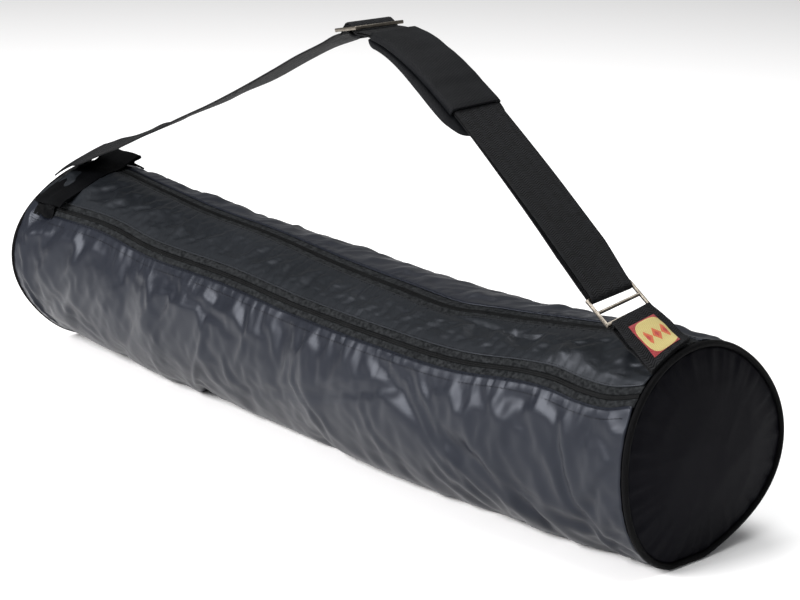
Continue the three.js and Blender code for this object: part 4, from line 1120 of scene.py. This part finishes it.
# angle round the tube and lift in radii
bandRows = [
    (139, 0.066), (135, 0.065), (130, 0.045), (125.5, 0.02), (121, 0.004), (112, 0), (103, 0),
    (94, 0), (90.5, 0.006), (87.3, 0.024), (84, 0.055), (80.8, 0.094), (78.4, 0.124), (76.9, 0.138),
    (75.9, 0.136), (75.5, 0.123), (76.1, 0.111), (77.6, 0.095), (79.2, 0.08), (80, 0.064), (79.4, 0.048),
    (77.8, 0.036), (75.2, 0.022), (71.5, 0.004),
]


def addBand():
    route = [(-math.radians(a) * radius, lift * radius) for a, lift in bandRows]
    line, length = evenly(route, 1.1)
    last = len(line) - 1

    def carry(u, v):
        i = np.round(u * last).astype(int)
        x = -halfLength + band["inset"] + v * band["width"]
        angle = np.degrees(-line[i, 0] / radius)
        hem = 0.5 * np.clip((6 - np.abs(u * length - 4)) / 1.0, 0, 1)
        ripple = 0.3 * wander(line[i, 0], 8, 44) + 0.25 * wander(x, 5, 47)
        bulge = np.where(angle > band["flatAngle"], line[i, 1], 0) * band["rimEase"] * np.maximum(0, 1 - 2 * v)
        lift = web["seatLift"] + band["wall"] / 2 + line[i, 1] - bulge + hem + ripple
        return bagPoint(x, angle, lift)
    piece = addSheet("band_cloth", last, 26, carry, (length * 0.001, band["width"] * 0.001))
    solidify(piece, band["wall"], 0)
    finishPiece(piece, materials["band"], ["left_band"], 50)


addBand()
print("band made")

# the front zip's slider, a tapered block under the band
slider = {"length": 9, "width": 7, "height": 3.6, "taper": 0.35, "lift": 0.6, "showing": 0.9}


def addSlider():
    piece = addPrimitive(bpy.ops.mesh.primitive_cube_add, "zip_slider", size=1)
    editWhole(piece, lambda: bpy.ops.mesh.subdivide(number_cuts=5))
    flat = vertexPlaces(piece)
    u, v, w = flat[:, 0], flat[:, 1], flat[:, 2] + 0.5
    narrowing = 1 - slider["taper"] * np.abs(u)
    x = -halfLength + band["inset"] + band["width"] / 2 + u * slider["length"]
    angle = zipAngle(frontZip, x, -v * slider["width"] * narrowing)
    lift = tube["coilProud"] + slider["lift"] + w * slider["height"] * slider["showing"] * narrowing
    placeVertices(piece, bagPoint(x, angle, lift))
    applyModifier(piece, "BEVEL", width=0.0003, segments=2, limit_method="ANGLE")
    finishPiece(piece, materials["coil"], ["front_zip_slider"], 40)


addSlider()


# a black sheet of painted shade for the recess under the band: from an angle over a span of degrees, with one hump
shadeSheet = {"fromAngle": 133.5, "span": 13, "lift": 0.9, "humpHeight": 4.4, "humpAt": (28, 138), "humpSize": (7, 4)}


def addShadeSheet():  # crumpled black sheet, painted shade in the recess where the front zip ends
    def carry(u, v):
        x = zipEnd["coverTo"] - 2 + u * (zipEnd["recessTo"] - zipEnd["coverTo"] + 3)
        angle = shadeSheet["fromAngle"] + shadeSheet["span"] * v
        alongOff = (x + halfLength - shadeSheet["humpAt"][0]) / shadeSheet["humpSize"][0]
        roundOff = (angle - shadeSheet["humpAt"][1]) / shadeSheet["humpSize"][1]
        hump = np.exp(-alongOff**2 - roundOff**2) * shadeSheet["humpHeight"]
        ripple = 0.5 * wander(x, 2.2, 33) * np.sin(np.pi * v) + 0.35 * wander(angle, 1.6, 36)
        return bagPoint(x, angle, np.maximum(shadeSheet["lift"] + hump + ripple, 0.75 + hump * 0.9))
    piece = addSheet("zip_end_painted_shade", 30, 26, carry, (0.022, 0.017))
    solidify(piece, 0.4)
    # the black band cloth here is painted shade for the recess
    finishPiece(piece, materials["band"])


addShadeSheet()


# sewing, in mm: bead pitch and size, and each row's distance from its hem's edge
stitch = {"pitch": 3.2, "length": 2.5, "thick": 0.45, "hemIn": 7.5, "edgeIn": 1.2, "leftIn": 6, "rightIn": 4}
# name, zip, distance from its middle line, degrees to add, slot
stitchRows = [
    ("front_hem_stitch", frontZip, edge + stitch["hemIn"], 0, "body_nylon"),
    ("front_edge_stitch", frontZip, edge + stitch["edgeIn"], 0, "top_nylon"),
    ("top_front_stitch", frontZip, -edge - stitch["edgeIn"], 0, "top_nylon"),
    ("top_rear_stitch", rearZip, edge + stitch["edgeIn"], 0, "top_nylon"),
    ("rear_hem_stitch", rearZip, -edge - stitch["edgeIn"], 360, "body_nylon"),
]


def addStitches(name, zipRows, distance, turn, slot):  # one thread bead, copied along the row
    x = np.linspace(-tubeHalf + stitch["leftIn"], tubeHalf - stitch["rightIn"], 700)
    angle = zipAngle(zipRows, x, distance) + turn
    height = clothHeight(x, angle) + hemLift(abs(distance))
    places = bagPoint(x, angle, height)
    ups = bagPoint(x, angle, height + 1) - places
    run = runOf(places)
    at = np.arange(stitch["pitch"] / 2, run[-1], stitch["pitch"])
    middle = valuesAt(at, run, places)
    along = unit(valuesAt(at + 0.5, run, places) - middle)
    side = unit(np.cross(valuesAt(at, run, ups), along))
    up = np.cross(along, side)
    bead = addPrimitive(bpy.ops.mesh.primitive_uv_sphere_add, name, segments=6, ring_count=4, radius=0.5)
    shape = vertexPlaces(bead)[None] * (stitch["thick"], stitch["thick"], stitch["length"])
    verts = (middle[:, None] + shape[..., 2:] * along[:, None] + shape[..., :1] * side[:, None]
             + shape[..., 1:2] * up[:, None]).reshape(-1, 3) * 0.001
    faces = [tuple(i + k * shape.shape[1] for i in face.vertices)
             for k in range(len(at)) for face in bead.data.polygons]
    bead.data = bpy.data.meshes.new(name)
    bead.data.from_pydata(verts.tolist(), [], faces)
    bead.data.uv_layers.new(name="UVMap")
    finishPiece(bead, materials["thread"])


for row in stitchRows:
    addStitches(*row)
print("stitches made")


# floor, lights, camera
studio = {"floorTone": 0.97, "floorSize": 30, "world": 0.3}
# name, place, aim, width and height in metres, watts, colour
lights = [
    ("key", (-0.6, -2.1, 1.45), (0, 0, 0.1), 1.5, 1.1, 112, (1, 0.985, 0.985)),
    ("top", (0.1, 0.3, 2.1), (0, 0, 0.1), 2.0, 1.2, 43, (1, 1, 1)),
    ("front", (0.7, -2.4, 0.7), (0, 0, 0.1), 1.2, 0.5, 8, (0.97, 0.98, 1)),
    ("fill", (2.4, -0.6, 1.0), (0.2, 0, 0.1), 1.2, 1.2, 2, (0.9, 0.92, 1)),
]


def addStage():
    floor = addPrimitive(bpy.ops.mesh.primitive_plane_add, "floor", size=studio["floorSize"], location=(0, 0, -0.0005))
    material, tree, shader = startMaterial("paleFloor", Roughness=0.9)
    tone = studio["floorTone"]
    toneInto(tree, shader, (tone,) * 3, (tone * 0.99,) * 3, 2.0, 0.3)
    floor.data.materials.append(material)
    world = bpy.data.worlds.new("studio")
    world.use_nodes = True
    background = world.node_tree.nodes["Background"]
    background.inputs[0].default_value = (1, 1, 1, 1)
    background.inputs[1].default_value = studio["world"]
    bpy.context.scene.world = world


def addLight(name, place, aim, width, height, energy, colour):
    light = bpy.data.lights.new(name, "AREA")
    light.shape = "RECTANGLE"
    light.size, light.size_y, light.energy, light.color = width, height, energy, colour
    lamp = bpy.data.objects.new(name, light)
    bpy.context.scene.collection.objects.link(lamp)
    lamp.location = place
    lamp.rotation_euler = (Vector(aim) - Vector(place)).to_track_quat("-Z", "Y").to_euler()


addStage()
for row in lights:
    addLight(*row)

view = {"place": (1.2428, -1.0505, 0.5673), "azimuth": 48.5, "elevation": 16.0, "lens": 102.34}
lens = bpy.data.cameras.new("camera")
lens.lens, lens.sensor_width = view["lens"], 36
camera = bpy.data.objects.new("camera", lens)
bpy.context.scene.collection.objects.link(camera)
camera.location = view["place"]
az, el = math.radians(view["azimuth"]), math.radians(view["elevation"])
back = Vector((math.sin(az) * math.cos(el), -math.cos(az) * math.cos(el), math.sin(el)))
camera.rotation_euler = (-back).to_track_quat("-Z", "Y").to_euler()
bpy.context.scene.camera = camera
bpy.context.scene.view_settings.view_transform = "Standard"
print("stage and camera made")
